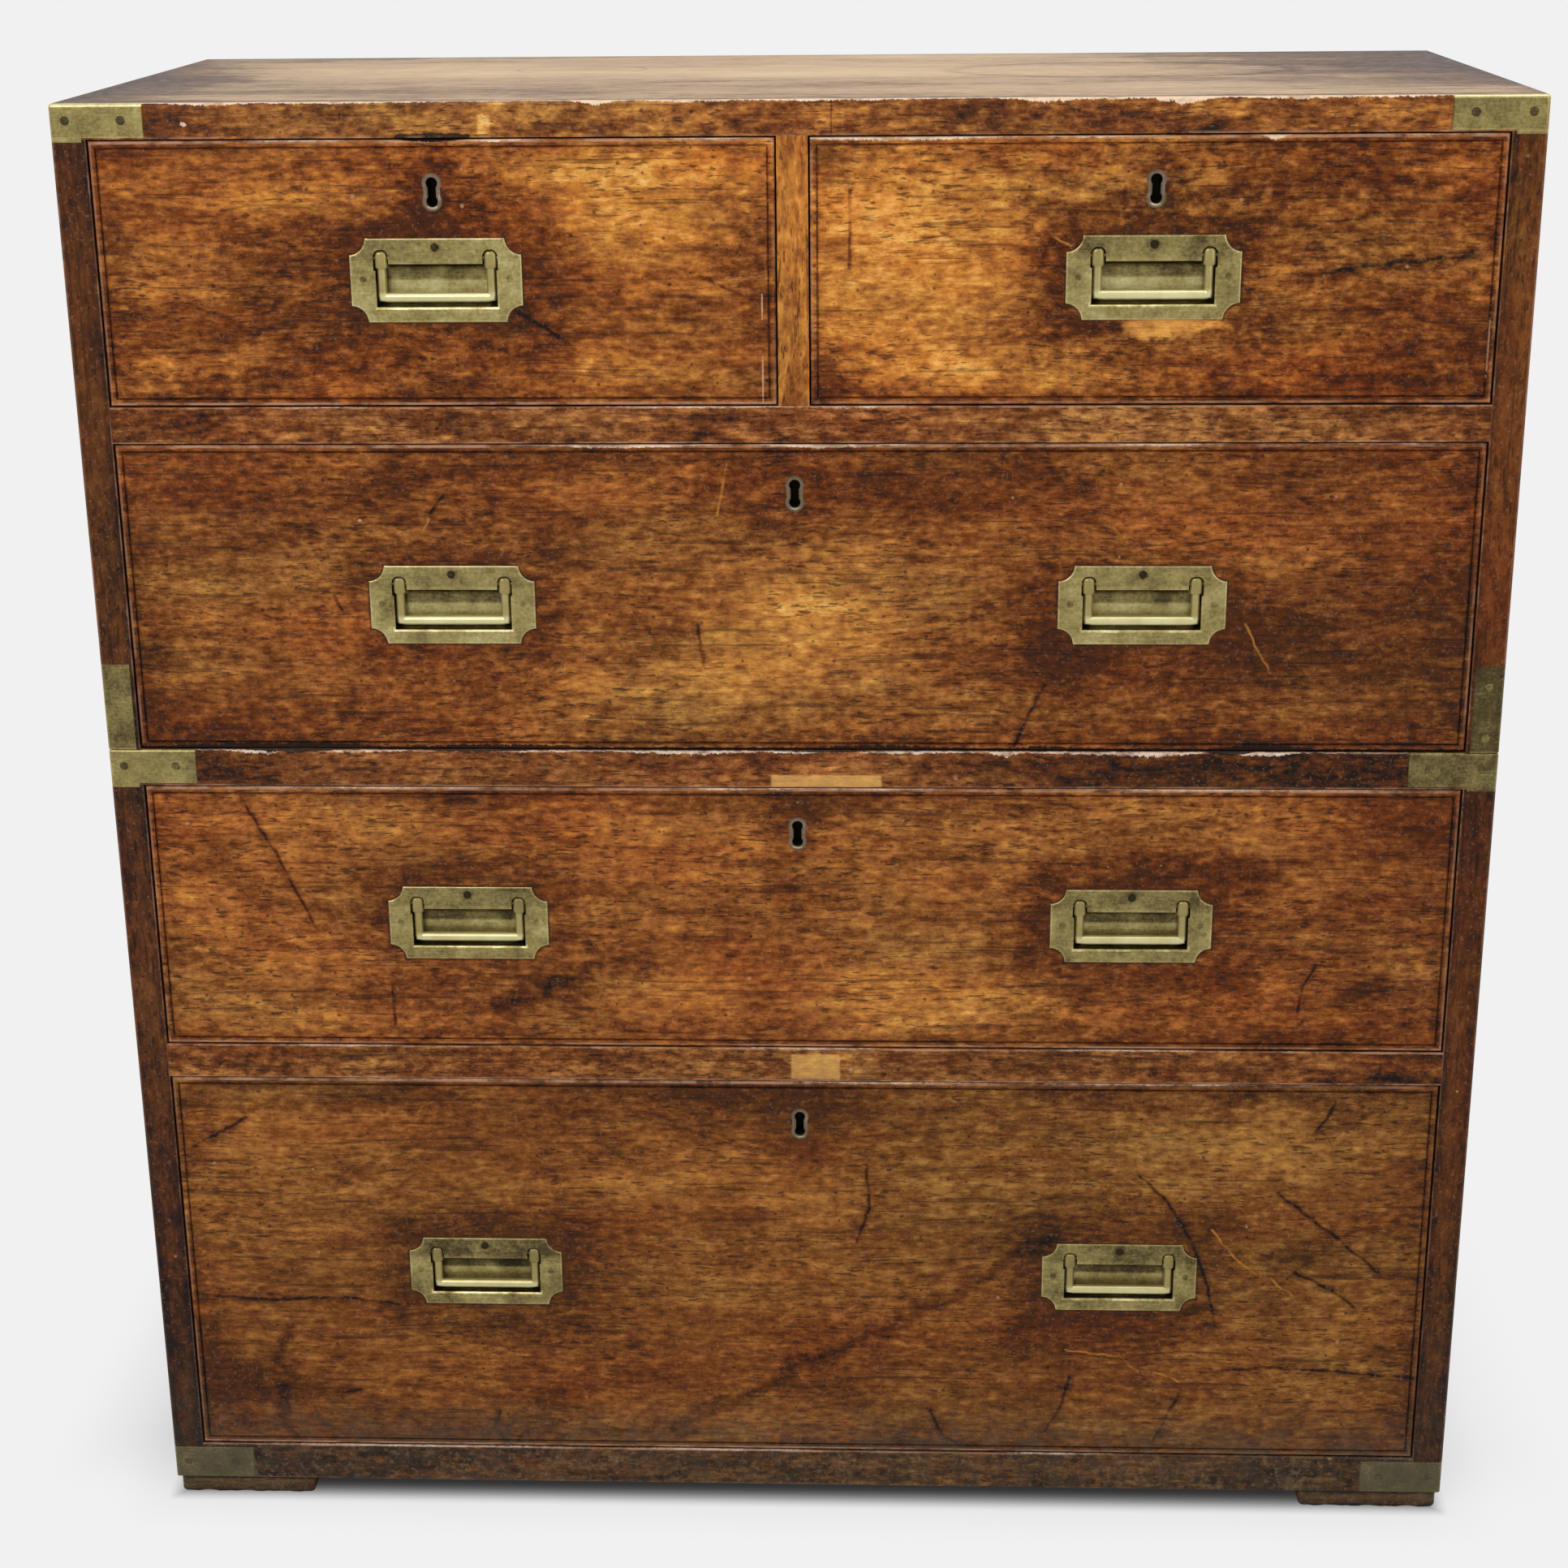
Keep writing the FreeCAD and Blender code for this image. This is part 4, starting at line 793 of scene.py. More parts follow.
def rail_marks(name, worn, patches=(), spots=(), splits=(), base=0.0, gaps=(), dirt=0.0):
    """Rails: worn and chipped along their arrises, with let-in strips, stains and black gaps of painted
    shade.

    worn is the least and the most strength of the pale line along the upper arris, worn wood with a
    painted highlight, then of the lower one.
    """
    bottom, top = (corner.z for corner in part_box(name))

    def marks(net, wood, tone, mottle, broad):
        across = net.where[0]
        tone = tone - (abs(across) + mottle * 0.06).rise(0.36, 0.49, 0.0, 0.10)
        tone = net.blots(tone, net.place * ONTO_FRONT, spots)
        # pale lines along the arrises: wear with a painted highlight
        wear_and_highlight = edge_wear_and_highlight(net, ((top, *worn[:2]), (bottom, *worn[2:])))
        if dirt:
            wear_and_highlight = wear_and_highlight * across.rise(-0.05, 0.30, 1.0, 0.2)
        overlays = [(wear_and_highlight, wood.bare_and_highlight)]
        if patches:
            inlay = strips(net, patches)
            tone = tone + inlay
            overlays.append((inlay * 2.4, paint(212, 164, 92)))
        if dirt:
            overlays.append((dusty(net, 0.02, 0.09, dirt, dirt * 0.5), wood.dust))
            overlays.append((grit(net, 0.36), paint(132, 110, 86)))
        if splits:
            strength = net.noise(net.place, 70.0, 4.0, 0.75).rise(0.36, 0.58, 0.25, 0.95)
            overlays.append((splinters(net, top, splits, base, 1.6) * strength,
                             paint(224, 199, 176)))
        # painted shade: black in chipped gaps along the upper arris
        if gaps:
            overlays.append((splinters(net, top, gaps, 0.5, 0.8) * 0.95, wood.black))
        return tone, overlays

    return marks


# Brass ------------------------------------------------------------------------------------------

def brass(name, marks=None, rough=0.0, metal=0.7, skin=None, worn=1.0):
    """Old brass: olive skin, lighter where it is rubbed, with blotches, pits and fine scratches.

    skin is another colour for the skin. worn scales how uneven it is. marks changes the tone.
    """
    look = bpy.context.scene.chest_brass
    net = new_material(name)
    blotch = net.noise(net.place, 60.0, 4.0, 0.6) - 0.5
    film = net.noise(net.place, 400.0, 3.0, 0.7) - 0.5
    brushed = net.noise(net.place * (90.0, 400.0, 1500.0), 1.0, 2.0, 0.6) - 0.5
    pits = net.noise(net.place, 900.0, 2.0, 0.6).rise(0.64, 0.74)
    tone = 0.5 + worn * (blotch * 0.55 + film * 0.45 + brushed * 0.25 - pits * 0.14)
    if marks:
        tone = marks(net, tone)
    patina, bright, dirt = (Vector(c) for c in (skin or look.patina, look.bright, look.dirt))
    colour = net.ramp(tone, ((0.0, dirt * 0.25), (0.20, dirt), (0.50, patina),
                             (0.75, patina.lerp(bright, 0.45)), (1.0, bright)))
    colour = net.tint(net.where[2].fall(0.055, 0.065, 0.36), colour, paint(101, 98, 79))
    roughness = look.roughness + rough - tone * 0.12 + (film * 0.4 + pits * 0.2) * worn
    height = film * 0.35 + brushed * 0.2 + blotch * 0.5 - pits * 0.4
    return net.finish(colour, roughness, height, 0.0002 * worn, Metallic=metal,
                      Specular_IOR_Level=0.25)


def strap_marks(net, tone):
    """Corner brasses: pale on the arrises, rubbed brass with painted highlights, darker low down and to
    the right.
    """
    across, depth, height = net.where
    wide, deep = HALF_WIDE - abs(across), HALF_DEEP - abs(depth)
    front, side = deep.fall(1.0 * MM, 2.0 * MM), wide.fall(1.0 * MM, 2.0 * MM)
    upright = height.band(JOINT + 1.0 * MM, 0.70, 0.0005)
    tone = tone - 0.10 - upright * 0.10 - height.fall(0.1, 0.5, 0.22) \
        - across.rise(0.0, 0.4, 0.0, 0.15) * height.rise(0.7, 0.9, 1.0, 0.35) \
        * height.rise(0.1, 0.5, 0.2, 1.0)
    # pale lines along the corner arrises, the top, the joint, the lower edge of the top and the foot:
    # rubbed brass with painted highlights
    ridge = wide.fall(0.4 * MM, 2.5 * MM) * deep.fall(0.4 * MM, 2.5 * MM)
    top = height.rise(TOP - 3.0 * MM, TOP - 0.8 * MM)
    joint = height.band(JOINT - 1.8 * MM, JOINT + 1.0 * MM, 0.0005)
    lower = height.band(TOP_LOW.z - 0.7 * MM, TOP_LOW.z + 1.7 * MM, 0.0006) * abs(across).rise(
        INNER, INNER + 2.4 * MM, 1.0, 0.5)
    foot = height.band(0.0425, 0.0455, 0.0005)
    tone = tone + ridge * 0.18 + top.most(joint * 0.15).most(lower * 0.45).most(foot * 0.15) * 0.42
    return tone - wide.rise(62.0 * MM, 63.2 * MM, 0.0, 0.25) * front \
        - deep.rise(62.0 * MM, 63.2 * MM, 0.0, 0.25) * side


def screw_marks(net, tone):
    """Screw heads: dark, and less so round the joint."""
    height = net.where[2]
    return tone - 0.38 + height.band(0.62, 0.75, 0.01) * 0.14 + height.band(0.58, 0.62, 0.005) \
        * 0.06 - height.fall(0.2, 0.5, 0.08)


def plate_marks(net, tone):
    """Handle plates, by the place on the plate in millimetres that each point carries."""
    across, depth, height = net.attribute("spot", "Vector").parts()
    wide = abs(across)
    patch = net.noise(net.place, 38.0, 3.0, 0.6) - 0.5
    tone = tone + patch * 0.55 - net.where[2].fall(0.30, 0.80, 0.14)
    # paler along the rim: rubbed brass with a painted highlight; a little darker high on the plate
    tone = tone + net.attribute("rim", "Fac").fall(0.4, 1.8, 0.20) - height.rise(11.0, 15.0, 0.0, 0.10)
    # in the well: lighter below and darker above, a painted reflection; darker still under its top lip,
    # towards the bail's arms and under the bar, painted shadow
    inside = depth.rise(0.8, 2.5)
    tone = tone + inside * (
        height.rise(-2.0, 0.6, 0.10, -0.20) - height.rise(7.5, 10.0, 0.0, 0.30)
        - wide.rise(33.0, 39.0, 0.0, 0.20) - height.fall(-15.0, -12.5, 0.36))
    # a dark line round the edge of the well: painted shade
    lip = (wide - WELL_X).most(abs(height - WELL_MIDDLE) - WELL_HALF)
    tone = tone - abs(lip).fall(0.0, 0.5, 0.10)
    # a pale line on the lip below the well: a painted highlight, with wear
    tone = tone + lip.band(0.4, 1.8, 0.4) * height.fall(-17.0, -15.0) * patch.rise(
        -0.08, 0.10, 0.08, 0.42) * (1.0 - inside)
    flat = net.xyz(wide, height, 0.0)
    top = (flat - (0.0, SCREW_TOP, 0.0)).size()
    ends = (flat - (SCREW_X, SCREW_Z, 0.0)).size()
    tone = tone - top.fall(2.3, 3.3, 0.36) - top.fall(3.0, 6.0, 0.07) - ends.fall(1.6, 2.9, 0.15)
    slot = abs(across * 0.8 + (height - SCREW_TOP) * 0.6).fall(0.3, 0.6, 0.10)
    return tone + slot * top.fall(2.2, 2.6)


def bail_marks(net, tone):
    """Bails: brighter along the bar, rubbed brass with a painted highlight, duller towards the pivots.
    """
    height = net.attribute("spot", "Vector").parts()[2]
    patch = net.noise(net.place, 45.0, 3.0, 0.6) - 0.5
    # the bar's painted highlight on rubbed brass
    return tone + patch * 0.35 + height.rise(-10.8, -6.6, 0.36, 0.05) \
        - height.rise(6.8, 8.2, 0.0, 0.08) - net.where[2].fall(0.30, 0.80, 0.08)


def lock_marks(drawer):
    """Lock and keyhole liner: darker overall, with a paler ring round the keyhole, a painted glint on
    its lower part, and black painted shade inside the keyhole.
    """
    key_x, key_z = keyhole(drawer)

    def marks(net, tone):
        x, depth, z = net.where
        reach = LINER_STRAIGHT * MM
        foot = abs(z - key_z).most(reach) - reach
        away = net.xyz(x - key_x, foot, 0.0).size()
        shown = depth.fall(FACE + 0.004, FACE + 0.005)
        tone = tone - 0.20 + away.band(0.0040, 0.0056, 0.0003) * 0.12 * shown
        # a painted glint on the lower part of the liner
        tone = tone + (key_z - z).rise(0.0085, 0.0105) * away.band(0.0036, 0.0052, 0.0004) * 0.32
        # painted shade: black inside the keyhole
        return tone - depth.rise(FACE + 0.0012, FACE + 0.0045) * away.fall(0.0045, 0.007, 1.5)

    return marks


# Surfaces ---------------------------------------------------------------------------------------

def weave(rows, columns, loop=False):
    """Four corners of every cell of a grid whose columns may run round in a loop."""
    last = columns if loop else columns - 1
    row, column = np.meshgrid(np.arange(rows - 1), np.arange(last), indexing="ij")
    after = (column + 1) % columns
    cells = np.stack([row * columns + column, row * columns + after,
                      (row + 1) * columns + after, (row + 1) * columns + column], axis=-1)
    return cells.reshape(-1, 4)


def piece(name, parts, finish, attributes=(), sharp=40.0):
    """One mesh object from (points, cells) pairs, with a float or vector attribute per point."""
    points = np.concatenate([p.reshape(-1, 3) for p, _ in parts])
    starts = np.cumsum([0] + [p.size // 3 for p, _ in parts[:-1]])
    cells = np.concatenate([c + start for (_, c), start in zip(parts, starts)])
    mesh = bpy.data.meshes.new(name)
    mesh.from_pydata(points.tolist(), [], cells.tolist())
    for label, values in attributes:
        kind, field = ("FLOAT_VECTOR", "vector") if values.ndim > 1 else ("FLOAT", "value")
        layer = mesh.attributes.new(label, kind, "POINT")
        layer.data.foreach_set(field, values.astype(np.float32).ravel())
    shape = bmesh.new()
    shape.from_mesh(mesh)
    bmesh.ops.remove_doubles(shape, verts=shape.verts, dist=1e-6)
    bmesh.ops.dissolve_degenerate(shape, edges=shape.edges, dist=1e-7)
    bmesh.ops.recalc_face_normals(shape, faces=shape.faces)
    for face in shape.faces:
        face.smooth = True
    shape.to_mesh(mesh)
    shape.free()
    mesh.set_sharp_from_angle(angle=math.radians(sharp))
    mesh.materials.append(finish)
    thing = bpy.data.objects.new(name, mesh)
    bpy.context.scene.collection.objects.link(thing)
    return thing


def ramp_between(value, low, high):
    """Share of the way from low to high, kept between 0 and 1."""
    return np.clip((value - low) / (high - low), 0.0, 1.0)


def plate_grid():
    """Lines of the plate's grid, close together where it bends: across, and up."""
    turn = np.linspace(0.0, np.pi / 2, 10)
    lip = np.array([-0.15, 0.15])
    side, ends = np.array([0.0, 0.2, 0.45, 0.8, 1.1, 1.4]), np.array([0.0, 0.2, 0.45, 0.85, 1.25])
    right = np.concatenate([
        [0, 8, 16, 24, 30, 31.3, 31.9, 32.2, 32.5], np.arange(33.0, 40.8, 0.5),
        WELL_X + lip, [41.45, 41.75, 42.0, 42.3, 42.8, 44.2, 44.5, 46.0],
        PLATE_X - NOTCH * np.cos(turn[:-1]), PLATE_X - side])
    right = np.unique(np.round(right, 4))
    up = np.concatenate([
        PLATE_Z - ends, [25, 22.5, 21.4], np.arange(20.5, 15.9, -0.4), [PIVOT_Z, 13, 12.2, 11.7],
        [11.3], WELL_TOP + lip, [10, 9, 8, 6.5, 5, 2.75, 0, -4, -7, -9.75, -12, -13.5, -15, -16],
        [-17], WELL_FOOT + lip, [-18.2, -18.6, -19.0, -19.4, -20, -22, -25], ends - PLATE_Z])
    return np.concatenate([-right[:0:-1], right]), np.sort(up)


def plate_shape():
    """Handle plate in millimetres: points, cells, and each point's place and distance to the rim.

    The plate is a height field over a grid that narrows into the hollowed corners: its height at
    each end is the plate's less what a quarter circle takes. Its depth is nothing on the face, a
    small bevel at the rim, and in the hollow a straight lip that rounds into the flat back: depth
    less radius plus the root of radius squared less distance squared. Slots with round heads take
    the knuckles. The back is the same grid set behind it, and bands join the two.
    """
    x, z = plate_grid()
    reach = np.abs(x)
    notch = np.sqrt(np.clip(NOTCH ** 2 - (PLATE_X - reach) ** 2, 0, None)) * (
        reach > PLATE_X - NOTCH)
    X, V = np.meshgrid(x, z, indexing="ij")
    Z = V * ((PLATE_Z - notch) / PLATE_Z)[:, None]
    wide = np.abs(X)
    aside, below = PLATE_X - wide, PLATE_Z - np.abs(Z)
    away = np.minimum(np.minimum(below, aside), np.hypot(aside, below) - NOTCH)
    inward = np.minimum(WELL_TOP - Z, Z - WELL_FOOT)
    lip = np.minimum(WELL_X - wide, inward)
    toe = WELL_ROUND - np.clip(inward, 0, WELL_ROUND)
    scoop = WELL_DEEP - WELL_ROUND + np.sqrt(np.clip(WELL_ROUND ** 2 - toe ** 2, 0, None))
    slot = SLOT_HALF - np.hypot(wide - ARM_X, np.clip(Z - SLOT_HEAD, 0, None))
    slot = np.minimum(slot, Z - SLOT_FOOT)
    depth = np.maximum(scoop * ramp_between(lip, -0.12, 0.12),
                       SLOT_DEEP * ramp_between(slot, -0.15, 0.2))
    eased = np.where(Z < WELL_FOOT + 0.75, LIP_LOW, LIP_DEEP)
    round_lip = eased * (1 - ramp_between(-lip, 0.0, LIP_WIDE)) ** 2
    bevel = BEVEL_DEEP * (1 - ramp_between(away, 0.0, BEVEL_WIDE)) ** 2
    front = np.maximum(depth, round_lip) + bevel
    cup = (wide < CUP_X) & (Z < CUP_TOP) & (Z > CUP_FOOT)
    back = np.where(cup, CUP_BACK, PLATE_BACK)
    rows, columns = X.shape
    ring = np.stack([np.concatenate(pair, 1) for pair in (
        (X, X[:, ::-1]), (front, back[:, ::-1]), (Z, Z[:, ::-1]))], axis=-1)
    cells = [weave(rows, 2 * columns, loop=True)]
    step = np.arange(columns - 1)
    facing = 2 * columns - 1 - step
    for base in (0, (rows - 1) * 2 * columns):
        cells.append(base + np.stack([step, step + 1, facing - 1, facing], 1))
    rim = np.concatenate([away, away[:, ::-1]], 1).ravel()
    return ring, np.concatenate(cells), ring.reshape(-1, 3), rim


def bail_shape():
    """Bail about its plate's centre, in millimetres: bar, bosses and pins.

    The bar is a circle carried along a U whose corners are nearly square: at each corner the circle
    is widened as a mitre is. Its radius falls to nothing at both ends. A boss is an oval that
    swells from nothing at its domed head, stays even, and tapers into the arm. The pin is a
    cylinder.
    """
    foot, radius, sides = -11.6, 3.15, 24
    corner = np.array([[-ARM_X, foot + 2.2], [-ARM_X + 0.35, foot + 0.35], [-ARM_X + 2.2, foot]])
    arm = np.stack([np.full(9, -ARM_X), np.linspace(PIVOT_Z - 1, foot + 2.9, 9)], 1)
    level = np.stack([np.linspace(-ARM_X + 2.9, ARM_X - 2.9, 31), np.full(31, foot)], 1)
    mirror = np.array((-1, 1))
    line = np.concatenate([arm, corner, level, corner[::-1] * mirror, arm[::-1] * mirror])
    tangent = np.gradient(line, axis=0)
    tangent /= np.linalg.norm(tangent, axis=1, keepdims=True)
    spread = radius + 0.35 * ramp_between(-np.abs(line[:, 0]), -ARM_X, -ARM_X + 4)
    mitres = [len(arm) + 1, len(line) - len(arm) - 2]
    spread[mitres] = radius * 1.3
    depth = np.full(len(line), radius)
    for ring in (spread, depth):
        ring[[0, -1]] = 0.0
    angle = np.linspace(0, 2 * np.pi, sides, endpoint=False)
    wide = spread[:, None] * np.cos(angle)
    points = np.stack([
        line[:, None, 0] + wide * tangent[:, None, 1],
        PIVOT_Y + depth[:, None] * np.sin(angle),
        line[:, None, 1] - wide * tangent[:, None, 0]], axis=-1)
    parts = [(points, weave(len(line), sides, loop=True))]
    step = np.array([5.2, 5.15, 4.9, 4.4, 3.7, 2.8, 1.5, 0, -2, -4, -5.6, -6.5, -6.9, -7.0, -7.0])
    head = np.clip((step - 0.9) / 4.3, 0, 1)
    width = 4.5 * (1 - head ** 2.3) ** (1 / 2.3)
    thick = np.minimum(3.85, np.sqrt(np.clip(5.25 ** 2 - np.clip(step, 0, None) ** 2, 0, None)))
    thick[0] = 0.0
    taper = np.ones(len(step))
    taper[-5:] = 0.985, 0.95, 0.88, 0.70, 0.0
    round_x = np.sign(np.cos(angle)) * np.abs(np.cos(angle)) ** 0.7
    round_y = np.sign(np.sin(angle)) * np.abs(np.sin(angle)) ** 0.85
    pin_x, pin_radius = np.array(((-6.8, 0), (-6.8, 1.3), (6.8, 1.3), (6.8, 0))).T[:, :, None]
    for side in (-ARM_X, ARM_X):
        boss = np.stack([side + (width * taper)[:, None] * round_x,
                         PIVOT_Y + (thick * taper)[:, None] * round_y,
                         PIVOT_Z + step[:, None] + 0 * angle], axis=-1)
        turned = np.stack([side + pin_x + 0 * angle, PIVOT_Y + pin_radius * np.sin(angle),
                           PIVOT_Z + pin_radius * np.cos(angle)], axis=-1)
        parts += [(made, weave(len(made), sides, loop=True)) for made in (boss, turned)]
    return parts


def screw_shape(turn):
    """Screw head along -Y about its face's centre, in millimetres: a low dome with a slot.

    The surface is a polar grid; its height falls with the square of the radius, less the slot's
    depth near a line through the middle, and its last rings turn down the side and close behind.
    """
    radius = np.array([0, 0.3, 0.6, 0.9, 1.2, 1.6, 2.0, 2.4, 2.7, 2.9, 3.0, 1.5, 0.0])
    rim, sides = 10, 28
    angle = np.linspace(0, 2 * np.pi, sides, endpoint=False)
    R, A = np.meshgrid(radius, angle, indexing="ij")
    slot = 0.45 * (1 - ramp_between(np.abs(R * np.sin(A - turn)), 0.3, 0.55)) * (R < 2.85)
    depth = 0.02 * R ** 2 + slot
    depth[rim], depth[rim + 1:] = 0.8, 1.6
    return np.stack([R * np.cos(A), depth, R * np.sin(A)], axis=-1), weave(
        len(radius), sides, loop=True)


def foot_shape(low, high):
    """Foot block between two corners in metres: a rounded rectangle carried along X.

    The rectangle shrinks by the radius less its cosine part over the last millimetres at each end,
    and small waves along the block and round it stand for its knocks.
    """
    radius, per_corner = 4.5 * MM, 5
    (x0, y0, z0), (x1, y1, z1) = low, high
    turn = np.linspace(0, np.pi / 2, per_corner)
    ends = radius * (1 - np.sin(turn))
    x = np.sort(np.concatenate([x0 + ends, np.linspace(x0, x1, 26)[1:-1], x1 - ends]))
    near = np.minimum(x - x0, x1 - x)
    inset = radius - np.sqrt(np.clip(radius ** 2 - np.clip(radius - near, 0, None) ** 2, 0, None))
    corner = np.concatenate([turn + k * np.pi / 2 for k in range(4)])
    sign_y, sign_z = np.repeat((1, -1, -1, 1), per_corner), np.repeat((1, 1, -1, -1), per_corner)
    half_y, half_z = (y1 - y0) / 2 - radius, (z1 - z0) / 2 - radius
    wave = 0.0006 * (np.sin(x * 310)[:, None] * np.sin(3 * corner + x[:, None] * 90) - 1)
    out = radius + np.minimum(wave * (x[:, None] > x0), 0) - inset[:, None]
    middle = np.array([0.0, (y0 + y1) / 2, (z0 + z1) / 2])
    rings = np.stack([x[:, None] + 0 * corner,
                      middle[1] + sign_y * half_y + np.cos(corner) * out,
                      middle[2] + sign_z * half_z + np.sin(corner) * out], axis=-1)
    first, last = (np.broadcast_to(middle + (end, 0, 0), (1, len(corner), 3))
                   for end in (x[0], x[-1]))
    rings = np.concatenate([first, rings, last])
    return rings, weave(len(rings), len(corner), loop=True)


def placed(parts, x, y, z):
    """Parts in millimetres, moved to a point of the chest given in metres."""
    return [(points.reshape(-1, 3) * MM + (x, y, z), cells) for points, cells in parts]


def islands(node):
    """Lowest and highest corner of each separate solid of a node."""
    shape = bmesh.new()
    shape.from_mesh(frame["nodes"][node].data)
    bmesh.ops.remove_doubles(shape, verts=shape.verts, dist=1e-6)
    seen, boxes = set(), []
    for start in shape.verts:
        if start in seen:
            continue
        group, queue = [], [start]
        seen.add(start)
        while queue:
            vert = queue.pop()
            group.append(vert.co)
            for edge in vert.link_edges:
                other = edge.other_vert(vert)
                if other not in seen:
                    seen.add(other)
                    queue.append(other)
        spread = np.array(group)
        boxes.append((spread.min(0), spread.max(0)))
    shape.free()
    return boxes


# Operators --------------------------------------------------------------------------------------

def assign(finish, *names):
    """Give CAD nodes a material."""
    for name in names:
        slots = frame["nodes"][name].data.materials
        slots.clear()
        slots.append(finish)


def stand_in(made, body, node):
    """A made piece rides on a body and stands for a node of it."""
    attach(made, body)
    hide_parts(node)


FRONT_LOOKS = {                                  # level, contrast and cast of the polish
    "drawer_1": (0.625, 1.08, (1.0, 0.91, 0.80)), "drawer_2": (0.625, 1.08, (1.0, 0.91, 0.80)),
    "drawer_3": (0.492, 0.95, (1.0, 0.99, 1.0)), "drawer_4": (0.540, 0.92, (1.0, 0.99, 1.0)),
    "drawer_5": (0.450, 0.78, (0.99, 1.13, 1.15)),
}


class CHEST_OT_fronts(bpy.types.Operator):
    """Polish the five drawer fronts, each with its own marks"""

    bl_idname = "chest.fronts"
    bl_label = "Drawer fronts"

    def execute(self, context):
        for seed, drawer in enumerate(DRAWERS):
            level, contrast, cast = FRONT_LOOKS[drawer]
            assign(mahogany(drawer + "_polish", "x", level, 3.1 + 7.3 * seed,
                            front_marks(drawer), contrast, cast), drawer + "_front")
        return {"FINISHED"}


SIDE_LOOKS = {                                   # level and cast of the polish
    "upper_side_left": (0.235, (0.98, 1.24, 2.1)), "upper_side_right": (0.36, (1.0, 1.08, 1.35)),
    "lower_side_left": (0.24, (0.98, 1.25, 2.4)), "lower_side_right": (0.30, (0.98, 1.16, 1.7)),
}
RAIL_LOOKS = {                                   # the polish, and the marks on it
    "lower_top": (
        dict(name="joint_polish", grain="x", level=0.38, seed=83.0, cast=(1.0, 1.10, 1.45)),
        dict(worn=(0.10, 0.5, 0.05, 0.45), patches=((-18.5, 60, 591.5, 600, .26),),
             spots=((28, 607, 50, 9, .16), (340, 605, 260, 40, -.22), (-420, 605, 120, 40, -.20),
                    (125, 605, 60, 40, -.12), (40, 605, 60, 20, .10)),
             splits=((-383, 30, 2.6), (-320, 50, 1.2), (-78, 70, 1.8), (0, 30, 1.4), (80, 60, 1.2),
                     (148, 16, 2.6), (200, 50, 1.2), (251, 44, 2.8), (328, 34, 2.4),
                     (-200, 70, 0.8)),
             base=0.8, gaps=((-363, 40, 2.0), (306, 22, 2.2), (20, 40, 1.0), (-230, 50, 1.2)))),
    "upper_rail": (
        dict(name="upper_rail_polish", grain="x", level=0.50, seed=91.0, contrast=1.2,
             cast=(1.0, 1.10, 1.45)),
        dict(worn=(0.10, 0.6, 0.05, 0.5),
             spots=((-408, 851, 50, 20, -.18), (-327, 851, 40, 16, .10), (-246, 851, 50, 18, -.16),
                    (-60, 851, 80, 16, -.04), (321, 851, 60, 18, -.12), (200, 848, 70, 10, .08)),
             splits=((-60, 100, 1.0), (40, 50, 1.4), (-330, 60, 0.6)))),
    "lower_rail": (
        dict(name="lower_rail_polish", grain="x", level=0.45, seed=97.0, contrast=1.15,
             cast=(1.0, 1.06, 1.3)),
        dict(worn=(0.15, 0.65, 0.10, 0.6), patches=((-6, 30, 363.5, 383, .20),),
             spots=((-60, 374, 130, 20, .05), (31, 374, 60, 20, .16), (-138, 374, 60, 20, -.18),
                    (200, 374, 60, 20, -.18), (-320, 374, 50, 16, .08)),
             splits=((-340, 60, 0.8), (10, 60, 1.2), (240, 80, 0.6)))),
    "base_rails": (
        dict(name="base_polish", grain="x", level=0.19, seed=103.0, contrast=1.2,
             cast=(0.84, 1.26, 2.1), dull=0.1),
        dict(worn=(0.45, 0.85, 0.02, 0.2),
             spots=((300, 33, 240, 30, .08), (-320, 33, 150, 30, -.05), (-150, 33, 60, 30, -.08)),
             splits=((-300, 150, 0.8), (-60, 90, 0.8), (200, 60, 0.6)), dirt=0.34)),
    "centre_divider": (
        dict(name="divider_polish", grain="z", level=0.76, seed=109.0, contrast=0.9,
             cast=(1.0, 0.97, 0.9)),
        dict(worn=(0.0, 0.0, 0.0, 0.0),
             spots=((0, 860, 40, 60, -.30), (0, 905, 40, 40, -.10), (0, 1040, 30, 14, -.1)))),
}


class CHEST_OT_cases(bpy.types.Operator):
    """Polish the boards, stiles and rails of both cases, and make the feet"""

    bl_idname = "chest.cases"
    bl_label = "Cases"

    def execute(self, context):
        assign(mahogany("top_polish", "x", 0.47, 51.0, top_marks, 1.25, gloss=0.15), "upper_top")
        for seed, (name, (level, cast)) in enumerate(SIDE_LOOKS.items()):
            assign(mahogany(name + "_polish", "z", level, 61.0 + 5 * seed, side_marks(name), 0.50,
                            cast), name)
        for name, (polish, marks) in RAIL_LOOKS.items():
            assign(mahogany(marks=rail_marks(name, **marks), **polish), name)
        feet = mahogany("foot_polish", "x", 0.17, 113.0, foot_marks, 0.6, (0.70, 1.54, 3.4), 0.15)
        blocks = [foot_shape(low, high) for low, high in islands("feet")]
        stand_in(piece("foot_blocks", blocks, feet), "lower_case", "feet")
        return {"FINISHED"}


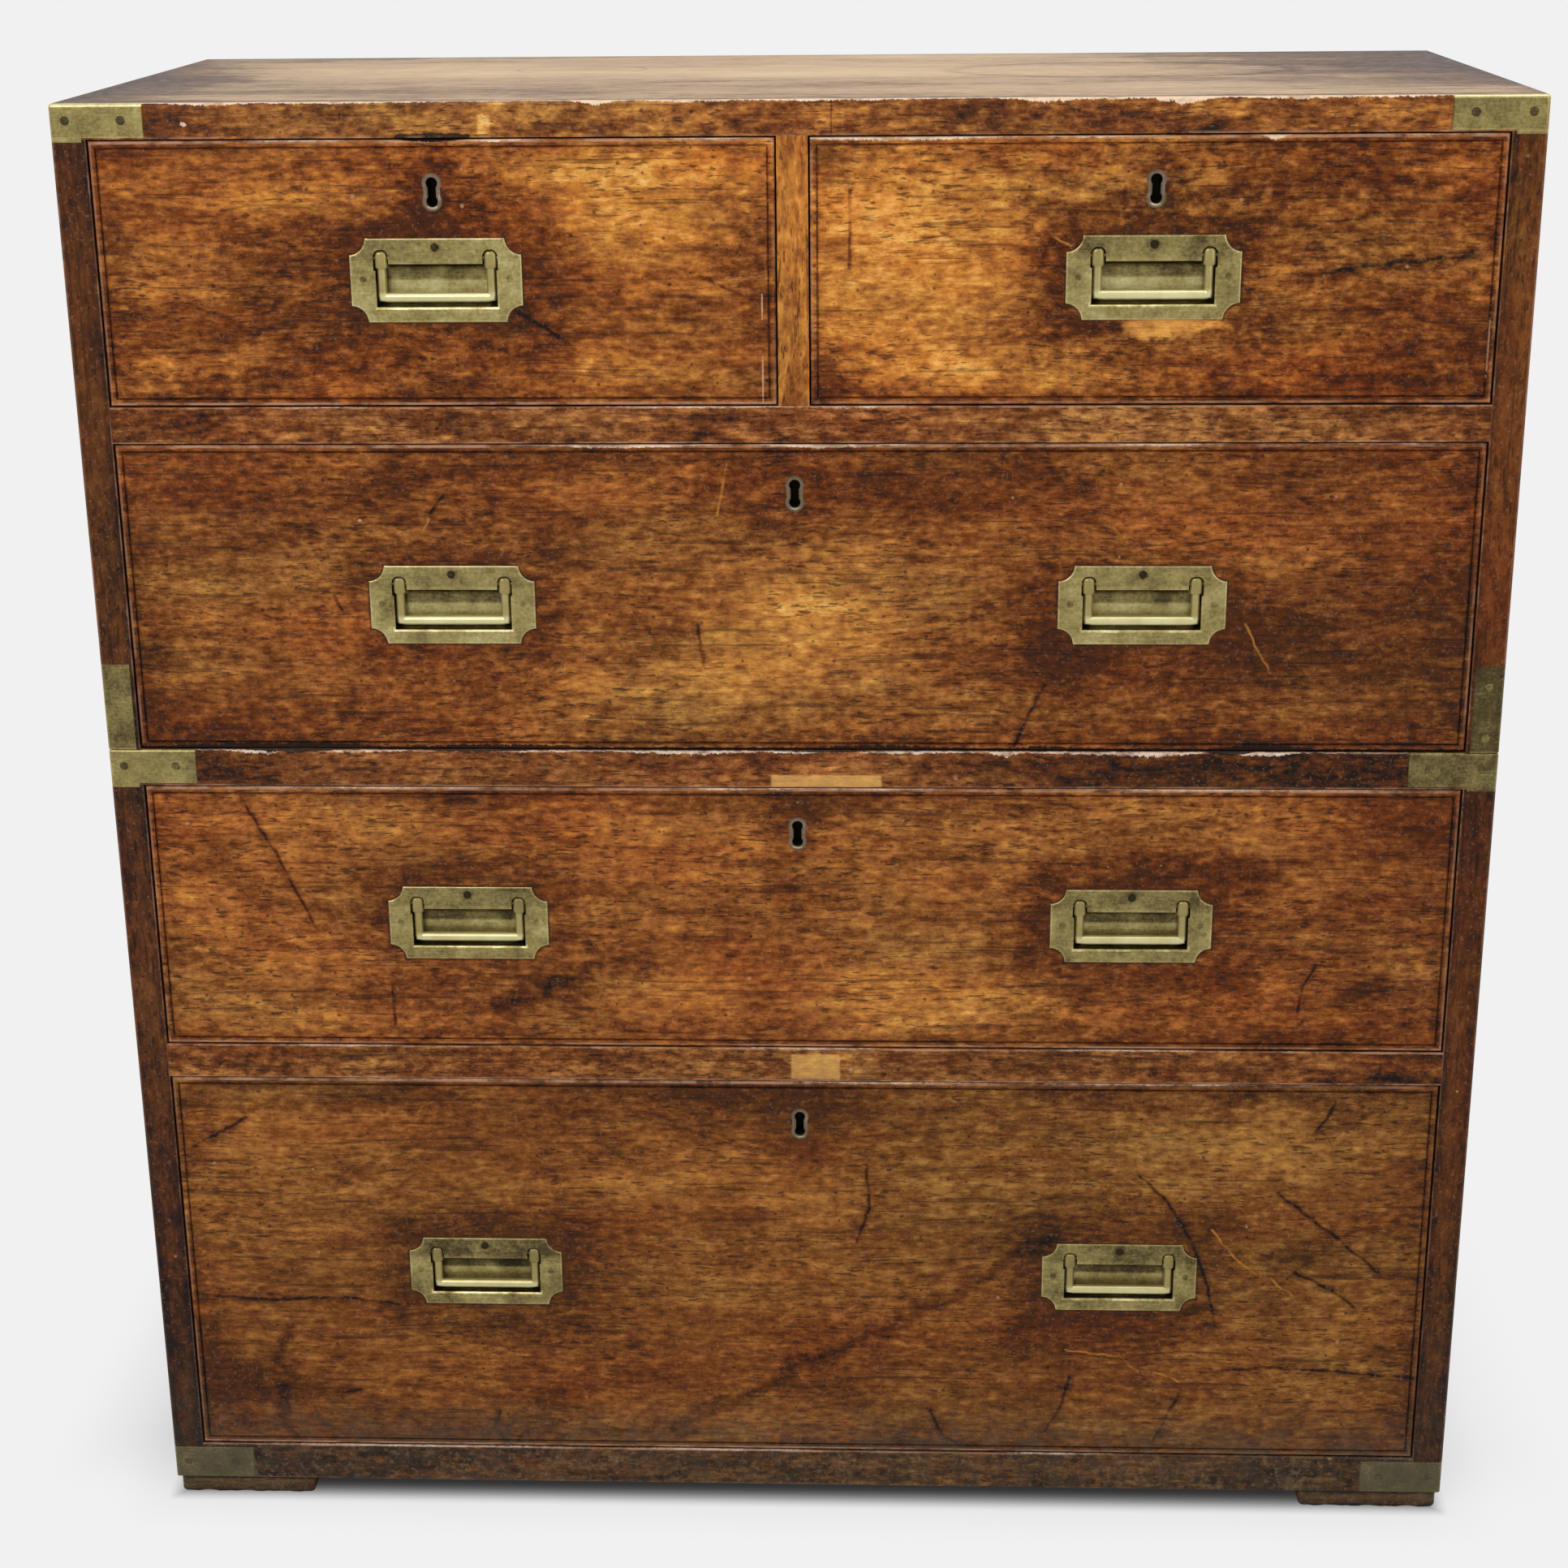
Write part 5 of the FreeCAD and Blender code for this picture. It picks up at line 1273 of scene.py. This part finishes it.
class CHEST_OT_linings(bpy.types.Operator):
    """Give the drawer boxes, backs, bottoms and runners their dry inner wood"""

    bl_idname = "chest.linings"
    bl_label = "Linings"

    def execute(self, context):
        assign(dry("drawer_box_wood", "y", 0.52, 5.0), *(drawer + "_box" for drawer in DRAWERS))
        assign(dry("drawer_bottom_wood", "x", 0.58, 9.0),
               *(drawer + "_bottom" for drawer in DRAWERS))
        assign(dry("back_wood", "x", 0.42, 15.0), "upper_back", "lower_back")
        assign(dry("inner_wood", "y", 0.45, 21.0), "upper_runners_and_stops",
               "lower_runners_and_stops", "upper_bottom", "lower_bottom", "locating_dowels")
        return {"FINISHED"}


def screw_head(low, high, turn):
    """Screw head in the place of a solid: it faces away from the chest, forward, back or sideways."""
    points, cells = screw_shape(turn)
    points = points.reshape(-1, 3) * MM
    middle = (low + high) / 2
    out, along = (1, 0) if high[1] - low[1] > high[0] - low[0] else (0, 1)
    inward = 1 if middle[out] < 0 else -1
    where = np.empty_like(points)
    where[:, out] = (low if inward > 0 else high)[out] + inward * points[:, 1]
    where[:, along] = middle[along] + points[:, 0]
    where[:, 2] = middle[2] + points[:, 2]
    return where, cells


class CHEST_OT_corners(bpy.types.Operator):
    """Finish the corner brasses and make slotted heads for their screws"""

    bl_idname = "chest.corners"
    bl_label = "Corner brasses"

    def execute(self, context):
        straps = brass("corner_brass", strap_marks, 0.04)
        heads = brass("screw_brass", screw_marks, 0.1, 0.5)
        for case in ("upper", "lower"):
            assign(straps, case + "_corner_brasses")
            node = case + "_corner_screws"
            parts = [screw_head(low, high, 0.7 + 2.4 * index)
                     for index, (low, high) in enumerate(islands(node))]
            stand_in(piece(case + "_screw_heads", parts, heads), case + "_case", node)
        return {"FINISHED"}


class CHEST_OT_handles(bpy.types.Operator):
    """Make the handle plates and the bails"""

    bl_idname = "chest.handles"
    bl_label = "Handles"

    def execute(self, context):
        plates = brass("plate_brass", plate_marks)
        bails = brass("bail_brass", bail_marks, 0.0, 0.6, worn=0.22)
        ring, cells, spots, rim = plate_shape()
        bent = bail_shape()
        bent_spots = np.concatenate([points.reshape(-1, 3) for points, _ in bent])
        for drawer in DRAWERS:
            bodies = [body for body in frame["bodies"]
                      if body.startswith(drawer) and body.endswith("bail")]
            parts = []
            for body in bodies:
                low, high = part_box(body)
                where = (low.x + high.x) / 2, FACE, high.z - (PIVOT_Z + BOSS_TOP) * MM
                parts += placed([(ring, cells)], *where)
                made = piece(body + "_bar", placed(bent, *where), bails, [("spot", bent_spots)])
                stand_in(made, body, body)
            made = piece(drawer + "_plates", parts, plates, [
                ("spot", np.tile(spots, (len(bodies), 1))), ("rim", np.tile(rim, len(bodies)))])
            stand_in(made, drawer, drawer + "_handle_plates")
        return {"FINISHED"}


class CHEST_OT_locks(bpy.types.Operator):
    """Finish the locks, keyhole liners and bolts"""

    bl_idname = "chest.locks"
    bl_label = "Locks"

    def execute(self, context):
        bolts = brass("bolt_brass")
        for drawer in DRAWERS:
            assign(brass(drawer + "_lock_brass", lock_marks(drawer), 0.1, 0.4,
                         context.scene.chest_brass.liner), drawer + "_lock")
            assign(bolts, drawer + "_bolt")
        return {"FINISHED"}


# Stage ------------------------------------------------------------------------------------------

PAINTED_SHADOW = (0.02, 0.02, 0.02)                       # colour of the painted shadow on the floor under the chest
LAMPS_FACE = Vector((0.0, 0.0, 0.6))
LAMPS = (                                        # place, width, height and share of the power
    ("key_lamp", (-1.7, -3.0, 2.6), 2.2, 1.4, 1.0), ("top_lamp", (0.5, -0.9, 3.0), 2.4, 1.2, 0.35),
    ("fill_lamp", (2.4, -2.4, 1.4), 1.6, 1.6, 0.25), ("rear_lamp", (1.2, 3.2, 2.4), 2.2, 1.4, 0.5))
CAMERA_PLACE = (0.071, -2.123, 1.212)
CAMERA_TURN = (-2.44, 19.60, -0.57)              # yaw, pitch and roll in degrees
PICTURE_SIDE, PICTURE_SHIFT = 1932, 94           # pixels; the view is shifted up


def floor_shape():
    """Floor: a flat disc of rings, in metres."""
    sides = 96
    radius = np.array([0.0, 0.5, 1.0, 2.0, 4.0, 8.0, 16.0, 40.0])
    R, A = np.meshgrid(radius, np.linspace(0, 2 * np.pi, sides, endpoint=False), indexing="ij")
    return np.stack([R * np.cos(A), R * np.sin(A), 0 * R], axis=-1), weave(len(radius), sides, True)


def floor_look(ground):
    """Floor: painted shadow darkens it under the chest and beside it.

    For the camera it glows in the background's colour, less so close to the chest, where it takes
    shadows. For other light it is matt.
    """
    net = new_material("floor")
    place = net.place * ONTO_FLOOR
    across, depth, _ = place.parts()
    beyond = abs(place) - (HALF_WIDE, HALF_DEEP, 0.0)
    away = net.add("ShaderNodeVectorMath", {"operation": "MAXIMUM"},
                   (beyond, (0.0, 0.0, 0.0))).size()
    wide, deep, _ = beyond.parts()
    signed = away + wide.most(deep).least(0.0)
    # painted shadow: a tight contact shadow at the chest's outline, and a soft one on the floor beside
    # and behind it, in both the glow and the matt colour
    shade = signed.rise(-0.026, 0.010, 0.15, 1.0)
    beside = wide.fall(0.0, 0.13) * depth.rise(-0.24, -0.12) * depth.fall(0.2, 0.8) \
        * across.rise(-0.5, 0.5, 0.22, 0.10)
    shade = shade * shade * (1.0 - beside)
    speck = net.noise(place, 300.0, 3.0, 0.6).rise(0.3, 0.7, 0.995, 1.0)
    matt = net.add("ShaderNodeBsdfDiffuse", {}, {
        "Color": net.tint(shade * speck, PAINTED_SHADOW, ground)})
    glow = net.add("ShaderNodeEmission", {}, {
        "Color": net.tint(shade, PAINTED_SHADOW, ground), "Strength": 1.0})
    mixed = net.add("ShaderNodeMixShader", {}, (
        net.seen() * away.rise(0.0, 0.06, 0.80, 1.0), matt, glow))
    net.node("ShaderNodeOutputMaterial", {}, {"Surface": mixed})
    return net.owner


def studio(ground, sky):
    """World: the ground's colour where it is seen, and an even white light."""
    net = Net(bpy.data.worlds.new("studio"))
    shown = net.add("ShaderNodeBackground", {}, {"Color": ground})
    light = net.add("ShaderNodeBackground", {}, {"Color": (1.0, 1.0, 1.0), "Strength": sky})
    both = net.add("ShaderNodeMixShader", {}, (net.seen(), light, shown))
    net.node("ShaderNodeOutputWorld", {}, {"Surface": both})
    return net.owner


def soft_lamp(name, where, wide, tall, power):
    """Rectangular lamp that faces the middle of the chest."""
    data = bpy.data.lights.new(name, "AREA")
    data.shape, data.size, data.size_y, data.energy = "RECTANGLE", wide, tall, power
    lamp = bpy.data.objects.new(name, data)
    lamp.location = where
    lamp.rotation_euler = (LAMPS_FACE - lamp.location).to_track_quat("-Z", "Y").to_euler()
    bpy.context.scene.collection.objects.link(lamp)
    return lamp


def stand_camera(lens):
    """Camera in front of the chest: turned by its yaw, pitch and roll, and shifted up."""
    yaw, pitch, roll = (math.radians(angle) for angle in CAMERA_TURN)
    ahead_of = Vector((math.sin(yaw) * math.cos(pitch), math.cos(yaw) * math.cos(pitch),
                       -math.sin(pitch)))
    right = Vector((math.cos(yaw), -math.sin(yaw), 0.0))
    up = right.cross(ahead_of)
    across = math.cos(roll) * right + math.sin(roll) * up
    above = math.cos(roll) * up - math.sin(roll) * right
    data = bpy.data.cameras.new("camera")
    data.sensor_width, data.lens = 36.0, lens
    data.shift_y = PICTURE_SHIFT / PICTURE_SIDE
    data.clip_start, data.clip_end = 0.05, 100.0
    camera = bpy.data.objects.new("camera", data)
    camera.matrix_world = Matrix((across, above, -ahead_of)).transposed().to_4x4()
    camera.location = CAMERA_PLACE
    bpy.context.scene.collection.objects.link(camera)
    return camera


class CHEST_OT_stage(bpy.types.Operator):
    """Set up the floor, the light and the camera"""

    bl_idname = "chest.stage"
    bl_label = "Stage"

    def execute(self, context):
        scene = context.scene
        look = scene.chest_stage
        scene.view_settings.view_transform = "Standard"
        ground = tuple(look.ground)
        floor = piece("floor", [floor_shape()], floor_look(ground))
        if floor.data.polygons[0].normal.z < 0:
            floor.data.flip_normals()
        scene.world = studio(ground, look.sky)
        for name, where, wide, tall, share in LAMPS:
            lamp = soft_lamp(name, where, wide, tall, look.lamp * share)
            lamp.visible_glossy = name != "rear_lamp"
        scene.camera = stand_camera(look.lens)
        return {"FINISHED"}


class CHEST_PT_panel(bpy.types.Panel):
    """The chest's finishes and stage"""

    bl_label = "Campaign Chest"
    bl_idname = "CHEST_PT_panel"
    bl_space_type = "VIEW_3D"
    bl_region_type = "UI"
    bl_category = "Chest"

    def draw(self, context):
        for group in ("chest_timber", "chest_brass", "chest_stage"):
            settings = getattr(context.scene, group)
            for name in settings.__annotations__:
                self.layout.prop(settings, name)
        for operator in OPERATORS:
            self.layout.operator(operator.bl_idname)


OPERATORS = (CHEST_OT_stage, CHEST_OT_fronts, CHEST_OT_cases, CHEST_OT_linings, CHEST_OT_corners,
             CHEST_OT_handles, CHEST_OT_locks)
CLASSES = (TimberSettings, BrassSettings, StageSettings, *OPERATORS, CHEST_PT_panel)


def register():
    for kind in CLASSES:
        bpy.utils.register_class(kind)
    bpy.types.Scene.chest_timber = PointerProperty(type=TimberSettings)
    bpy.types.Scene.chest_brass = PointerProperty(type=BrassSettings)
    bpy.types.Scene.chest_stage = PointerProperty(type=StageSettings)


def unregister():
    del bpy.types.Scene.chest_timber, bpy.types.Scene.chest_brass, bpy.types.Scene.chest_stage
    for kind in reversed(CLASSES):
        bpy.utils.unregister_class(kind)


def main():
    """Make everything: register the settings and run every operator."""
    register()
    for operator in OPERATORS:
        name = operator.bl_idname.split(".")[1]
        getattr(bpy.ops.chest, name)()


if __name__ == "__main__":
    main()
